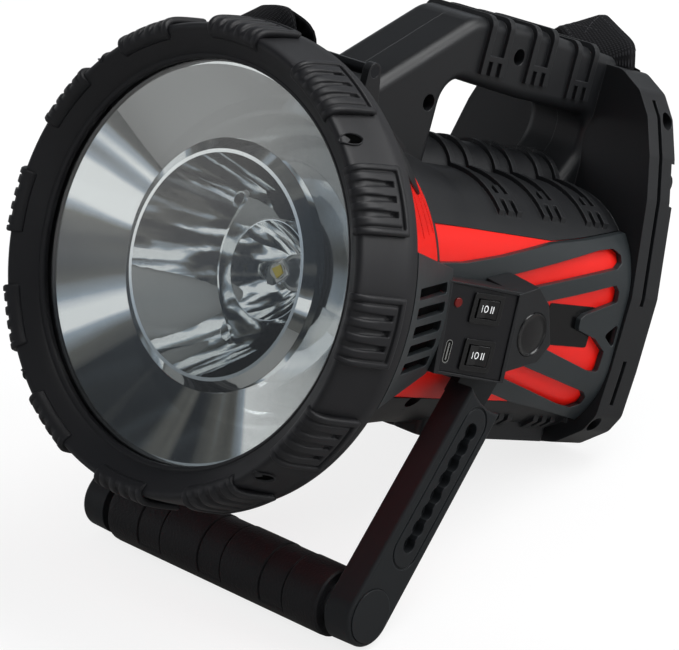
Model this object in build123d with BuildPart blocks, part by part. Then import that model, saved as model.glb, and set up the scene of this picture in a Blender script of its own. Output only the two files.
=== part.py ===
from build123d import *
from math import asin, atan2, cos, degrees, hypot, radians, sin, sqrt, tan
import os

os.makedirs("parts", exist_ok=True)

# A handheld searchlight: a round head with a deep reflector, a barrel that holds
# the battery, a carrying handle over it, and a swinging stand with a cross grip.
# It is modelled in millimetres with the beam along -Y, the handle on +Z and the
# origin in the middle of the lens opening. The last step pitches every piece by
# the same amount, so that the lamp stands on the grip and its rear edge.

# Shared clearances
overrun = 3.0
seat_gap = 0.15
running_gap = 0.06
slide_gap = 0.4

# Bezel ring, round the lens
lip_width = 10.5
lip_thickness = 2.5
rim_inset = 4.5
rim_reach = 8.5
rim_rounding = 3.0
ring_radius = 90.0
ring_rear = 21.0
ring_wall = 5.0
pad_count = 12
pad_angle = 16.5
pad_rise = 2.2
pad_front_lap = 3.5
pad_rear_inset = 6.5
pad_border = 3.2
pad_field_depth = 0.9
pad_slot_count = 3
pad_slot_width = 2.6
pad_slot_depth = 1.0
pad_groove_width = 2.0
eyelet_half_length = 4.5
eyelet_half_width = 1.9
eyelet_depth = 2.0

# Lens and its seal
lens_thickness = 2.5
lens_bearing = 3.0
lens_side_gap = 0.2
seal_thickness = 1.5
seal_inset = 0.5

# Reflectors
reflector_wall = 1.2
flange_thickness = 1.2
flange_side_gap = 1.5
outer_mouth_inset = 1.5
outer_throat_radius = 47.4
outer_depth = 10.9
ridge_radius = 41.7
ridge_width = 1.4
ridge_reach = 2.8
cup_throat_radius = 20.0
cup_throat = 58.0
collet_radius = 50.0

# Lamp board behind the inner reflector
board_front = 62.0
board_radius = 26.0
board_thickness = 1.6
spot_rim_radius = 18.8
spot_rim = 45.4
spot_rim_width = 0.7
spot_hole_radius = 7.0
spot_side_gap = 0.2
spot_floor = 1.8
emitter_radius = 5.6
emitter_base = 1.4
dome_radius = 4.2
sink_radius = 30.0
sink_base = 4.5
sink_length = 30.0
sink_core_radius = 11.0
fin_thickness = 1.8
fin_pitch = 5.4

# Head housing, the coloured cone behind the ring
head_wall = 3.0
head_front_inset = 2.4
head_rear_radius = 59.0
head_rear = 72.0
head_rear_opening = 42.0
groove_width = 1.5
groove_depth = 1.0
groove_low = 31.0
groove_high = 60.0
groove_low_depths = (44.0, 56.5, 67.5)
groove_lean = 0.62

# Barrel
barrel_half_width = 54.0
barrel_half_height = 51.0
barrel_corner = 38.0
barrel_wall = 6.0
barrel_front_wall = 3.0
shoulder_length = 26.0

# Rear frame and cover
frame_front = 198.0
frame_depth = 20.0
frame_half_width = 58.0
frame_top = 102.0
frame_bottom = 55.0
frame_rounding = 6.0
frame_bevel = 2.0
frame_groove_depth = 206.0
frame_groove_width = 2.5
frame_groove_sink = 2.0
frame_groove_spans = ((12.0, 93.0), (-30.0, -11.0))
notch_low = 53.0
notch_high = 70.0
notch_depth = 4.0
notch_bar_radius = 4.2
notch_bar_sink = 3.6
rear_opening_inset = 6.0
rear_wall = 8.0
rear_cover_thickness = 3.5
rear_cover_lap = 7.0
rear_cover_bevel = 1.0

# Carrying handle
handle_half_width = 16.0
handle_rounding = 4.5
handle_foot = 46.0
root_front = 44.0
root_start = 57.6
crest_front = 110.5
crest_rear = 148.0
crest_height = 110.2
root_drop = 33.2
handle_rear = 208.0
handle_rear_drop = 5.4
root_bend = 10.0
crest_bend = 18.0
crest_rear_bend = 60.0
hole_front = 100.0
hole_rear = 197.0
hole_front_drop = 24.7
hole_middle = 150.0
hole_middle_drop = 28.7
hole_rear_drop = 30.2
hole_bend = 10.0
hole_rear_bend = 14.0
web_drop = 44.2
web_reach = 16.0
saddle_thickness = 3.0

# Ridge along the barrel under the handle
ridge_bar_radius = 14.8
ridge_bar_height = 45.0
ridge_bar_front = 95.0
skid_half_width = 8.0
skid_spread = 30.0
skid_reach = 51.5
skid_front = 112.0

# Grip bands, in pairs with a forked end
band_places = (124.0, 153.0, 182.0)
band_rise = 1.7
band_rib = 3.0
band_half_pitch = 5.8
band_reach = 38.0
fork_tine = 5.5
fork_bar = 2.2
handle_band_drop = 16.0

# Coloured side panels and the frame over them
panel_thickness = 3.0
trim_thickness = 2.5
fairing_front_inset = 0.2
fairing_rear_radius = 66.3
fairing_wall = 2.2
fairing_front_half = 29.0
fairing_rear_half = 20.3
vent_count = 5
vent_height = 4.3
vent_pitch = 7.0
vent_front = 27.5
vent_rear = 64.5
vent_lead = 2.2

# Stand hinge
hinge_depth = 118.5
bolt_radius = 4.0
bolt_head_radius = 6.5
bolt_head_height = 3.4
nut_radius = 7.0
nut_height = 5.0
washer_radius = 9.0
cap_radius = 8.7
cap_thickness = 2.7
cap_dish = 0.5

# Pod round the hinge, with the switch panel on its front
pod_reach = 72.0
pod_turn_depth = 106.3
panel_tilt = 9.0
hub_size = 18.3
pocket_roof = 61.6
pod_web = 3.0
pod_lip = 3.6
pocket_side_gap = 0.9
cap_sink = 0.15

# Switch panel
face_thickness = 2.0
face_sink = 0.6
switch_body_depth = 8.4
switch_rim = 0.9
switch_wall = 1.15
switch_width = 15.5
upper_switch_height = 11.7
lower_switch_height = 12.3
upper_switch_across = 16.3
upper_switch_up = 7.6
lower_switch_across = 15.0
lower_switch_up = 10.4
rocker_end_gap = 0.35
rocker_side_gap = 0.3
rocker_pivot_sink = 1.2
rocker_rise = 0.4
rocker_dip = 0.9
rocker_depth = 2.0
rocker_foot_inset = 1.7
rocker_pin_radius = 0.9
rocker_pin_gap = 0.06
indicator_radius = 1.9
indicator_across = 31.2
indicator_up = 8.6
indicator_rise = 0.5
port_across = 30.0
port_down = 10.2
port_height = 9.0
port_width = 3.2
port_wall = 0.35
port_depth = 6.6
port_tongue = 0.7
port_tongue_height = 6.7

# Stand arms, their hinge eyes and the grip across them
arm_length = 124.3
arm_lean = 65.0
arm_splay = 1.4
arm_thickness = 11.7
arm_hub_radius = 11.0
arm_end_radius = 12.5
arm_inner = 57.1
arm_shoulder = 33.0
arm_edge_rounding = 1.5
slot_start = 41.0
slot_end = 97.0
slot_half_width = 2.4
slot_depth = 4.0
scallop_count = 8
scallop_radius = 3.5
bead_offset = 6.8
bead_width = 1.1
bead_depth = 0.6
swing_forward = 4.0
swing_back = 81.0
tube_radius = 9.0
tube_seat = 6.5
tube_wall = 2.0
sleeve_radius = 13.74
sleeve_half_length = 56.5
sleeve_grooves = (6.0, 27.0, 39.0)
sleeve_groove_width = 1.2
sleeve_groove_depth = 0.8
sleeve_rounding = 1.0
end_cap_radius = 10.5
end_cap_thickness = 1.8
end_cap_rise = 0.5

# Battery, cradle and control board inside the barrel
cell_radius = 9.15
cell_length = 65.0
cell_columns = 3
cell_rows = 2
cell_pitch = 18.9
cell_front = 128.0
cradle_wall = 2.0
cradle_rib = 3.0
control_thickness = 1.6
control_half_width = 28.0
control_length = 70.0
chip_size = 9.0
chip_height = 2.4

# Housing screws, set in from the right side
screw_radius = 1.5
screw_head_radius = 2.9
screw_head_height = 2.0
screw_length = 16.0
screw_hole_radius = 3.3
screw_inset = 8.0
screw_seat = 6.0
screw_boss_radius = 5.0

# Bars for the shoulder strap
strap_bar_radius = 2.3
strap_bar_half_length = 24.0
strap_ear_thickness = 3.2
strap_ear_radius = 3.4
front_bar_depth = 46.5
front_bar_height = 83.0
rear_bar_setback = 3.5
rear_bar_drop = 5.0
strap_pocket_front = 10.8
strap_pocket_drop = 10.0

# Shoulder strap: webbing that hangs from both bars and lies beside the lamp.
# The route and the way the webbing faces are given at rest, from front to rear.
strap_width = 25.0
strap_thickness = 1.6
strap_loop_gap = 0.3
strap_front_shift = -8.0
strap_rear_shift = 8.0
strap_steps = 60
strap_route = (
    (-30.0, -19.0, 207.0), (-52.0, -14.0, 195.0), (-72.0, -8.0, 168.0), (-87.0, -1.0, 132.0),
    (-99.0, 7.0, 95.0), (-112.0, 16.0, 60.0), (-131.0, 27.0, 29.0), (-158.0, 41.0, 9.0),
    (-184.0, 66.0, 1.4), (-197.0, 100.0, 1.4), (-191.0, 137.0, 1.4), (-166.0, 166.0, 5.0),
    (-132.0, 180.0, 18.0), (-98.0, 180.0, 39.0), (-70.0, 174.0, 66.0), (-48.0, 166.0, 94.0),
    (-35.0, 162.0, 120.0), (-23.0, 156.0, 142.0),
)
strap_facing_shares = (
    (0.35, 0.85, 0.3), (0.1, 0.95, 0.25), (0, 1, 0.1), (0, 1, 0), (0.05, 1, 0), (0.15, 1, 0),
    (0.3, 0.95, 0), (0.5, 0.86, 0), (0.8, 0.6, 0), (0.97, 0.12, 0), (0.92, -0.4, 0),
    (0.6, -0.8, 0), (0.2, -0.98, 0), (0, -1, 0), (-0.1, -1, 0), (-0.2, -0.98, 0),
    (-0.3, -0.95, -0.05), (-0.3, -0.95, 0),
)
strap_front_rise = 6.0
strap_rear_rise = 17.0
strap_front_lead = 12.0
strap_rear_lead = 16.0


# Planes and sizes worked out from the values above
rim_radius = ring_radius - rim_inset
lip_radius = rim_radius - lip_width
outer_mouth_radius = lip_radius - outer_mouth_inset
head_front_radius = ring_radius - head_front_inset
fairing_front_radius = ring_radius - fairing_front_inset
root_height = crest_height - root_drop
handle_rear_height = crest_height - handle_rear_drop
hole_front_top = crest_height - hole_front_drop
hole_middle_top = crest_height - hole_middle_drop
hole_rear_top = crest_height - hole_rear_drop
web_height = crest_height - web_drop
def side_plane(x):
    """Plane at x whose own x runs to the rear and whose own y runs up."""
    return Plane.YZ.offset(x)


def cross_plane(y):
    """Plane at y whose own x runs to the right and whose own y runs up."""
    return Plane.XZ.offset(-y)


lens_rear = lip_thickness + lens_thickness
seal_rear = lens_rear + seal_thickness
lens_radius = lip_radius + lens_bearing
ring_bore = ring_radius - ring_wall
collar_front = seal_rear + flange_thickness
collar_radius = ring_bore - 2 * seat_gap
head_front = ring_rear + seat_gap
barrel_front = head_rear + seat_gap
frame_rear = frame_front + frame_depth
side_length = frame_front - barrel_front
cone_slope = (head_rear_radius - head_front_radius) / (head_rear - head_front)
cone_stretch = sqrt(1 + cone_slope ** 2)


def cone_radius(y):
    """Outer radius of the head cone at depth y."""
    return head_front_radius + cone_slope * (y - head_front)


def side_points(shares):
    """Points on the side of the barrel, from shares of its length and half height."""
    return [(barrel_front + side_length * u, barrel_half_height * v) for u, v in shares]


# Bezel ring with its tread pads
pad_outer = ring_radius + pad_rise
pad_rear = ring_rear - pad_rear_inset
pad_floor = pad_outer - pad_field_depth
pad_field_rear = pad_rear - pad_border
pad_field_angle = pad_angle - 2 * degrees(pad_border / pad_outer)
pad_field_width = 2 * pad_outer * sin(radians(pad_field_angle / 2))
pad_slot_front = -rim_reach
pad_slot_rear = pad_field_rear - 2 * pad_groove_width

with BuildPart() as ring_pad:
    with BuildSketch(Plane.XY.rotated((0, -pad_angle / 2, 0))):
        with BuildLine():
            Polyline(
                (rim_radius - pad_front_lap, -rim_reach + pad_front_lap),
                (rim_radius - pad_front_lap, -rim_reach),
                (rim_radius, -rim_reach - pad_rise / 2),
                (ring_radius + pad_rise / 2, -rim_reach / 2),
                (pad_outer, pad_rear),
                (ring_bore + ring_wall / 2, pad_rear),
                (ring_bore + ring_wall / 4, 0),
                close=True,
            )
        make_face()
    revolve(axis=Axis.Y, revolution_arc=pad_angle)
    with BuildSketch(Plane.XY.rotated((0, -pad_field_angle / 2, 0))):
        with BuildLine():
            Polyline(
                (rim_radius - pad_field_depth, -rim_reach - pad_rise),
                (rim_radius - pad_field_depth, -rim_reach - pad_rise / 2 + pad_field_depth),
                (ring_radius + pad_rise / 2 - pad_field_depth, -rim_reach / 2),
                (pad_floor, pad_field_rear),
                (pad_outer + overrun, pad_field_rear),
                (pad_outer + overrun, -rim_reach - pad_rise),
                close=True,
            )
        make_face()
    revolve(axis=Axis.Y, revolution_arc=pad_field_angle, mode=Mode.SUBTRACT)
    # Slots that run to the front, and the groove inside the rear border
    for number in range(pad_slot_count):
        across = pad_field_width * ((number + 0.5) / pad_slot_count - 0.5)
        with Locations((pad_floor - pad_slot_depth, pad_slot_rear, across)):
            Box(
                pad_rise + overrun,
                pad_slot_rear - pad_slot_front,
                pad_slot_width,
                align=(Align.MIN, Align.MAX, Align.CENTER),
                mode=Mode.SUBTRACT,
            )
    with Locations((pad_floor - pad_slot_depth, pad_field_rear, 0)):
        Box(
            pad_rise + overrun,
            pad_groove_width,
            pad_field_width,
            align=(Align.MIN, Align.MAX, Align.CENTER),
            mode=Mode.SUBTRACT,
        )

with BuildPart() as bezel_ring:
    with BuildSketch(Plane.XY) as bezel_profile:
        with BuildLine():
            Polyline(
                (lip_radius, 0),
                (rim_radius, -rim_reach),
                (ring_radius, pad_rear),
                (ring_radius, ring_rear),
                (ring_bore, ring_rear),
                (ring_bore, seal_rear),
                (lens_radius + lens_side_gap, seal_rear),
                (lens_radius + lens_side_gap, lip_thickness),
                (lip_radius, lip_thickness),
                close=True,
            )
        make_face()
        fillet(bezel_profile.vertices().sort_by(Axis.Y)[0], radius=rim_rounding)
    revolve(axis=Axis.Y)
    # Four eyelets between the pads, half way round each quarter
    with BuildSketch(cross_plane(-rim_reach - overrun)):
        with PolarLocations(rim_radius - eyelet_half_width / 2, 4, start_angle=45):
            Ellipse(eyelet_half_width, eyelet_half_length)
    extrude(amount=-(overrun + eyelet_depth), mode=Mode.SUBTRACT)
    for number in range(pad_count):
        add(ring_pad.part.rotate(Axis.Y, 360 * number / pad_count))

# Clear lens, and the seal that the reflector presses against it
with BuildPart() as lens:
    with BuildSketch(cross_plane(lip_thickness)):
        Circle(lens_radius)
    extrude(amount=-lens_thickness)

with BuildPart() as lens_seal:
    with BuildSketch(cross_plane(lens_rear)):
        Circle(lens_radius)
        Circle(lip_radius - seal_inset, mode=Mode.SUBTRACT)
    extrude(amount=-seal_thickness)

# Outer reflector: a shallow cone with a flange that the head housing clamps
outer_throat = seal_rear + outer_depth
outer_run = hypot(outer_mouth_radius - outer_throat_radius, outer_depth)
outer_back_radius = reflector_wall * outer_depth / outer_run
outer_back = reflector_wall * (outer_mouth_radius - outer_throat_radius) / outer_run

with BuildPart() as outer_reflector:
    with BuildSketch(Plane.XY):
        with BuildLine():
            Polyline(
                (outer_mouth_radius, seal_rear),
                (ring_bore - flange_side_gap, seal_rear),
                (ring_bore - flange_side_gap, collar_front),
                (outer_mouth_radius + outer_back_radius, collar_front),
                (outer_throat_radius + outer_back_radius, outer_throat + outer_back),
                (outer_throat_radius, outer_throat),
                close=True,
            )
        make_face()
    revolve(axis=Axis.Y)

# Inner reflector: a parabola behind a turned lip, with a collet behind the cone
ridge_depth = outer_throat - ridge_reach


def parabola(front_radius, front, rear_radius, rear):
    """Control points of the parabola about the beam through both ends."""
    rise = (front_radius ** 2 - rear_radius ** 2) / (rear - front)
    middle_radius = (front_radius + rear_radius) / 2
    middle = front + 2 * front_radius * (front_radius - middle_radius) / rise
    return (front_radius, front), (middle_radius, middle), (rear_radius, rear)


collet_front = outer_throat + outer_back + seat_gap
with BuildPart() as inner_reflector:
    with BuildSketch(Plane.XY):
        with BuildLine():
            Bezier(*parabola(ridge_radius, ridge_depth, cup_throat_radius, cup_throat))
            Polyline(
                (cup_throat_radius, cup_throat),
                (cup_throat_radius, board_front),
                (cup_throat_radius + reflector_wall, board_front),
                (cup_throat_radius + reflector_wall, cup_throat),
            )
            wall_front = collet_front + reflector_wall
            wall_front_radius = ridge_radius + reflector_wall / 2
            Bezier(
                *parabola(
                    wall_front_radius,
                    wall_front,
                    cup_throat_radius + reflector_wall,
                    cup_throat,
                )
            )
            Polyline(
                (wall_front_radius, wall_front),
                (collet_radius, wall_front),
                (collet_radius, collet_front),
                (outer_throat_radius - seat_gap, collet_front),
                (outer_throat_radius - seat_gap, outer_throat),
                (ridge_radius + ridge_width, ridge_depth),
                (ridge_radius, ridge_depth),
            )
        make_face()
    revolve(axis=Axis.Y)

# Small reflector cup round the lamp, standing proud in the inner reflector
spot_outer_radius = cup_throat_radius - spot_side_gap
with BuildPart() as spot_reflector:
    with BuildSketch(Plane.XY):
        with BuildLine():
            Bezier(*parabola(spot_rim_radius, spot_rim, spot_hole_radius, board_front - spot_floor))
            Polyline(
                (spot_hole_radius, board_front - spot_floor),
                (spot_hole_radius, board_front),
                (spot_outer_radius, board_front),
                (spot_outer_radius, spot_rim + spot_rim_width),
                (spot_rim_radius + spot_rim_width / 2, spot_rim),
                (spot_rim_radius, spot_rim),
            )
        make_face()
    revolve(axis=Axis.Y)

# Lamp board and emitter
with BuildPart() as lamp_board:
    with BuildSketch(cross_plane(board_front)):
        Circle(board_radius)
    extrude(amount=-board_thickness)

with BuildPart() as lamp_emitter:
    with BuildSketch(Plane.XY):
        with BuildLine():
            Line((0, board_front), (emitter_radius, board_front))
            Line((emitter_radius, board_front), (emitter_radius, board_front - emitter_base))
            Line(
                (emitter_radius, board_front - emitter_base),
                (dome_radius, board_front - emitter_base),
            )
            ThreePointArc(
                (dome_radius, board_front - emitter_base),
                (dome_radius * cos(radians(45)), board_front - emitter_base - dome_radius * sin(radians(45))),
                (0, board_front - emitter_base - dome_radius),
            )
            Line((0, board_front - emitter_base - dome_radius), (0, board_front))
        make_face()
    revolve(axis=Axis.Y)

# Heat sink: a base with a core and straight fins
sink_front = board_front + board_thickness
with BuildPart() as heat_sink:
    with BuildSketch(cross_plane(sink_front)):
        Circle(sink_radius)
    extrude(amount=-sink_base)
    with BuildSketch(cross_plane(sink_front + sink_base)):
        Circle(sink_core_radius)
        fin_reach = int((sink_radius - fin_thickness) // fin_pitch)
        with GridLocations(fin_pitch, 0, 2 * fin_reach + 1, 1):
            Rectangle(fin_thickness, 2 * sink_radius)
        Circle(sink_radius, mode=Mode.INTERSECT)
    extrude(amount=-(sink_length - sink_base))

# Head housing, with slanted grooves on its shoulders and windows behind the vents
head_wall_across = head_wall * cone_stretch
vent_window_half = fairing_rear_half + 2 * slide_gap

with BuildPart() as groove_layer:
    with BuildSketch(Plane.XY):
        with BuildLine():
            Polyline(
                (cone_radius(head_front) - groove_depth, head_front),
                (cone_radius(head_front) + groove_depth, head_front),
                (cone_radius(head_rear) + groove_depth, head_rear),
                (cone_radius(head_rear) - groove_depth, head_rear),
                close=True,
            )
        make_face()
    revolve(axis=Axis.Y)
    with BuildSketch(side_plane(-head_front_radius)):
        groove_run = groove_lean * (groove_high - groove_low)
        for low_depth in groove_low_depths:
            with BuildLine():
                Polyline(
                    (low_depth, groove_low),
                    (low_depth + groove_width, groove_low),
                    (low_depth + groove_width - groove_run, groove_high),
                    (low_depth - groove_run, groove_high),
                    close=True,
                )
            make_face()
    extrude(amount=2 * head_front_radius, mode=Mode.INTERSECT)

with BuildPart() as head_housing:
    with BuildSketch(Plane.XY):
        bore = collar_radius - head_wall
        bore_depth = head_front + (bore + head_wall_across - head_front_radius) / cone_slope
        with BuildLine():
            Polyline(
                (bore, collar_front),
                (bore, bore_depth),
                (cone_radius(head_rear - head_wall) - head_wall_across, head_rear - head_wall),
                (head_rear_opening, head_rear - head_wall),
                (head_rear_opening, head_rear),
                (head_rear_radius, head_rear),
                (head_front_radius, head_front),
                (collar_radius, head_front),
                (collar_radius, collar_front),
                close=True,
            )
        make_face()
    revolve(axis=Axis.Y)
    add(groove_layer.part, mode=Mode.SUBTRACT)
    # Windows through both sides, open to the rear for the frame's own wall
    window_root = head_rear_opening + head_wall
    for window_plane in (side_plane(-ring_radius), side_plane(window_root)):
        with BuildSketch(window_plane):
            with Locations((vent_front - slide_gap, 0)):
                Rectangle(
                    head_rear - vent_front + overrun,
                    2 * vent_window_half,
                    align=(Align.MIN, Align.CENTER),
                )
        extrude(amount=ring_radius - window_root, mode=Mode.SUBTRACT)

# Outlines on the side of the barrel, as shares of its length and half height
panel_shares = (
    (0.01, 0.665), (0.60, 0.64), (0.95, 0.71), (0.95, -0.71), (0.60, -0.64), (0.01, -0.665)
)
trim_shares = (
    (-0.02, 0.40), (0.135, 0.424), (0.325, 0.502), (0.587, 0.635), (0.762, 0.684),
    (0.997, 0.77), (0.997, -0.77), (0.762, -0.684), (0.587, -0.635), (0.325, -0.502),
    (0.135, -0.424), (-0.02, -0.40),
)
long_window_shares = (
    (0.335, 0.322), (0.358, 0.37), (0.587, 0.494), (0.825, 0.625), (0.905, 0.65),
    (0.945, 0.61), (0.945, 0.547), (0.92, 0.502), (0.517, 0.307),
)
middle_window_shares = (
    (0.45, 0.16), (0.571, 0.198), (0.73, 0.278), (0.92, 0.38), (0.942, 0.335), (0.945, 0.245),
    (0.793, 0.125), (0.773, 0.08), (0.778, 0.0), (0.88, -0.06), (0.945, -0.157),
    (0.94, -0.325), (0.895, -0.325), (0.627, -0.17), (0.45, -0.12),
)
chevron_window_shares = ((0.922, -0.03), (0.985, 0.085), (0.985, -0.125))
window_rounding = 1.2


def barrel_section(outward, mode=Mode.ADD):
    """Rounded section of the barrel, grown outward by the length given."""
    RectangleRounded(
        2 * (barrel_half_width + outward),
        2 * (barrel_half_height + outward),
        barrel_corner + outward,
        mode=mode,
    )


# Space that the side panels and their frame take out of the body shells
with BuildPart() as side_space:
    with BuildSketch(side_plane(barrel_half_width / 2)):
        with BuildLine():
            Polyline(*side_points(panel_shares), close=True)
        make_face()
        with BuildLine():
            Polyline(*side_points(trim_shares), close=True)
        make_face()
        offset(amount=seat_gap, kind=Kind.INTERSECTION)
    extrude(amount=barrel_half_width)
    with BuildSketch(cross_plane(barrel_front - overrun)):
        barrel_section(-panel_thickness - seat_gap)
    extrude(amount=-(side_length + 2 * overrun), mode=Mode.SUBTRACT)

# Form that both body shells share: barrel, shoulder, rear frame and handle
frame_high_shares = (
    (0.414, 1.0), (0.603, 0.941), (0.724, 0.853), (0.828, 0.706), (0.905, 0.539), (1.0, 0.152)
)
frame_low_shares = (
    (0.991, 0.273), (0.971, 0.629), (0.897, 0.764), (0.69, 0.927), (0.414, 1.0)
)
frame_side = [(frame_half_width * u, frame_top * v) for u, v in frame_high_shares]
frame_side += [(frame_half_width * u, -frame_bottom * v) for u, v in frame_low_shares]

with BuildPart() as rear_frame_form:
    with BuildSketch(cross_plane(frame_front)):
        with BuildLine():
            far_side = [(-x, z) for x, z in reversed(frame_side)]
            FilletPolyline(*frame_side, *far_side, radius=frame_rounding, close=True)
        make_face()
    extrude(amount=-frame_depth)
    chamfer(rear_frame_form.faces().sort_by(Axis.Y)[-1].edges(), length=frame_bevel)

with BuildPart() as handle_form:
    with BuildSketch(side_plane(-handle_half_width)):
        with BuildLine():
            FilletPolyline(
                (root_front, handle_foot),
                (root_front, root_height),
                (root_start, root_height),
                (crest_front, crest_height),
                (crest_rear, crest_height),
                (handle_rear, handle_rear_height),
                (handle_rear, handle_foot),
                radius=(
                    handle_rounding,
                    handle_rounding,
                    root_bend,
                    crest_bend,
                    crest_rear_bend,
                    handle_rounding,
                    handle_rounding,
                ),
                close=True,
            )
        make_face()
        with BuildLine():
            FilletPolyline(
                (hole_front, handle_foot - overrun),
                (hole_front, hole_front_top),
                (hole_middle, hole_middle_top),
                (hole_rear, hole_rear_top),
                (hole_rear, web_height),
                (hole_rear - web_reach, handle_foot - overrun),
                radius=(
                    seat_gap,
                    hole_bend,
                    crest_rear_bend,
                    hole_rear_bend / 2,
                    hole_rear_bend,
                    seat_gap,
                ),
                close=True,
            )
        make_face(mode=Mode.SUBTRACT)
    extrude(amount=2 * handle_half_width)
    fillet(handle_form.faces().filter_by(Axis.X).edges(), radius=handle_rounding)


def handle_top(y):
    """Height of the handle's upper line at depth y."""
    if y < crest_rear:
        return crest_height
    fall = (crest_height - handle_rear_height) / (handle_rear - crest_rear)
    return crest_height - fall * (y - crest_rear)


# Forked grip bands, over the handle and over and under the barrel
with BuildPart() as band_layer:
    with BuildSketch(cross_plane(ridge_bar_front)):
        barrel_section(band_rise)
        with Locations((0, ridge_bar_height)):
            Circle(ridge_bar_radius + band_rise)
    extrude(amount=-side_length)

with BuildPart() as barrel_bands:
    with BuildSketch(Plane.XY.offset(-barrel_half_height - overrun)):
        for place in band_places:
            for side in (-1, 1):
                with Locations((0, place + side * band_half_pitch)):
                    Rectangle(2 * band_reach, band_rib)
                with Locations((side * band_reach, place)):
                    Rectangle(fork_bar, 2 * band_half_pitch + band_rib)
                for tine in (-1, 0, 1):
                    with Locations((side * band_reach, place + tine * band_half_pitch)):
                        Rectangle(2 * fork_tine, band_rib)
    extrude(amount=2 * (barrel_half_height + overrun) + ridge_bar_radius)
    add(band_layer.part, mode=Mode.INTERSECT)

with BuildPart() as handle_bands:
    for place in band_places:
        band_low = handle_top(place) - handle_band_drop
        for side in (-1, 1):
            with BuildSketch(cross_plane(place + side * band_half_pitch - band_rib / 2)):
                with Locations((0, band_low)):
                    RectangleRounded(
                        2 * (handle_half_width + band_rise),
                        2 * (handle_band_drop + band_rise),
                        handle_rounding,
                    )
                with Locations((0, band_low)):
                    Rectangle(
                        2 * (handle_half_width + overrun),
                        2 * handle_band_drop,
                        align=(Align.CENTER, Align.MAX),
                        mode=Mode.SUBTRACT,
                    )
            extrude(amount=-band_rib)
        with BuildSketch(side_plane(-handle_half_width - band_rise)):
            with Locations((place, band_low)):
                Rectangle(
                    2 * band_half_pitch + band_rib, fork_bar, align=(Align.CENTER, Align.MIN)
                )
            for tine in (-1, 0, 1):
                with Locations((place + tine * band_half_pitch, band_low + fork_bar)):
                    Rectangle(band_rib, fork_bar + fork_tine, align=(Align.CENTER, Align.MAX))
        extrude(amount=2 * (handle_half_width + band_rise))

# Screw places in the body, as depth and height
screw_places = (
    (hole_front - screw_inset, root_height - screw_inset / 3),
    (crest_rear - screw_inset, (crest_height + hole_front_top) / 2),
    (frame_rear - screw_inset * 3 / 4, frame_top - 2 * screw_inset),
)
boss_places = (
    (barrel_front + shoulder_length - screw_inset, 2 * screw_inset - barrel_half_height),
    (frame_front + screw_inset / 2, 2 * screw_inset - frame_bottom),
)

# Grooves down both sides of the rear frame
with BuildPart() as frame_grooves:
    with BuildSketch(cross_plane(frame_groove_depth - frame_groove_width / 2)):
        for low, high in frame_groove_spans:
            with Locations((0, low)):
                Rectangle(
                    2 * (frame_half_width + overrun), high - low, align=(Align.CENTER, Align.MIN)
                )
        with BuildLine():
            groove_side = [(x - frame_groove_sink, z) for x, z in frame_side]
            groove_far = [(-x, z) for x, z in reversed(groove_side)]
            FilletPolyline(*groove_side, *groove_far, radius=frame_rounding, close=True)
        make_face(mode=Mode.SUBTRACT)
    extrude(amount=-frame_groove_width)

# Screw places of the rear cover, on the seat round the rear opening
cover_corner = barrel_half_width - barrel_corner
cover_rise = barrel_half_height - barrel_corner
cover_screw_reach = (barrel_corner - barrel_wall - rear_opening_inset / 2) * cos(radians(45))
cover_screw_places = [
    (side * (cover_corner + cover_screw_reach), up * (cover_rise + cover_screw_reach))
    for side in (-1, 1)
    for up in (-1, 1)
]
with BuildPart() as saddle:
    with BuildSketch(Plane.XY):
        saddle_front = front_bar_depth - strap_ear_radius
        with BuildLine():
            Polyline(
                (cone_radius(saddle_front) + seat_gap, saddle_front),
                (cone_radius(saddle_front) + saddle_thickness, saddle_front),
                (head_rear_radius + saddle_thickness, barrel_front + saddle_thickness),
                (head_rear_radius - saddle_thickness, barrel_front + saddle_thickness),
                (head_rear_radius - saddle_thickness, barrel_front),
                (cone_radius(barrel_front) + seat_gap, barrel_front),
                close=True,
            )
        make_face()
    revolve(axis=Axis.Y)
    with BuildSketch(cross_plane(0)):
        Rectangle(
            2 * strap_bar_half_length, 2 * head_front_radius, align=(Align.CENTER, Align.MIN)
        )
    extrude(amount=-(barrel_front + shoulder_length), mode=Mode.INTERSECT)

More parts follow.
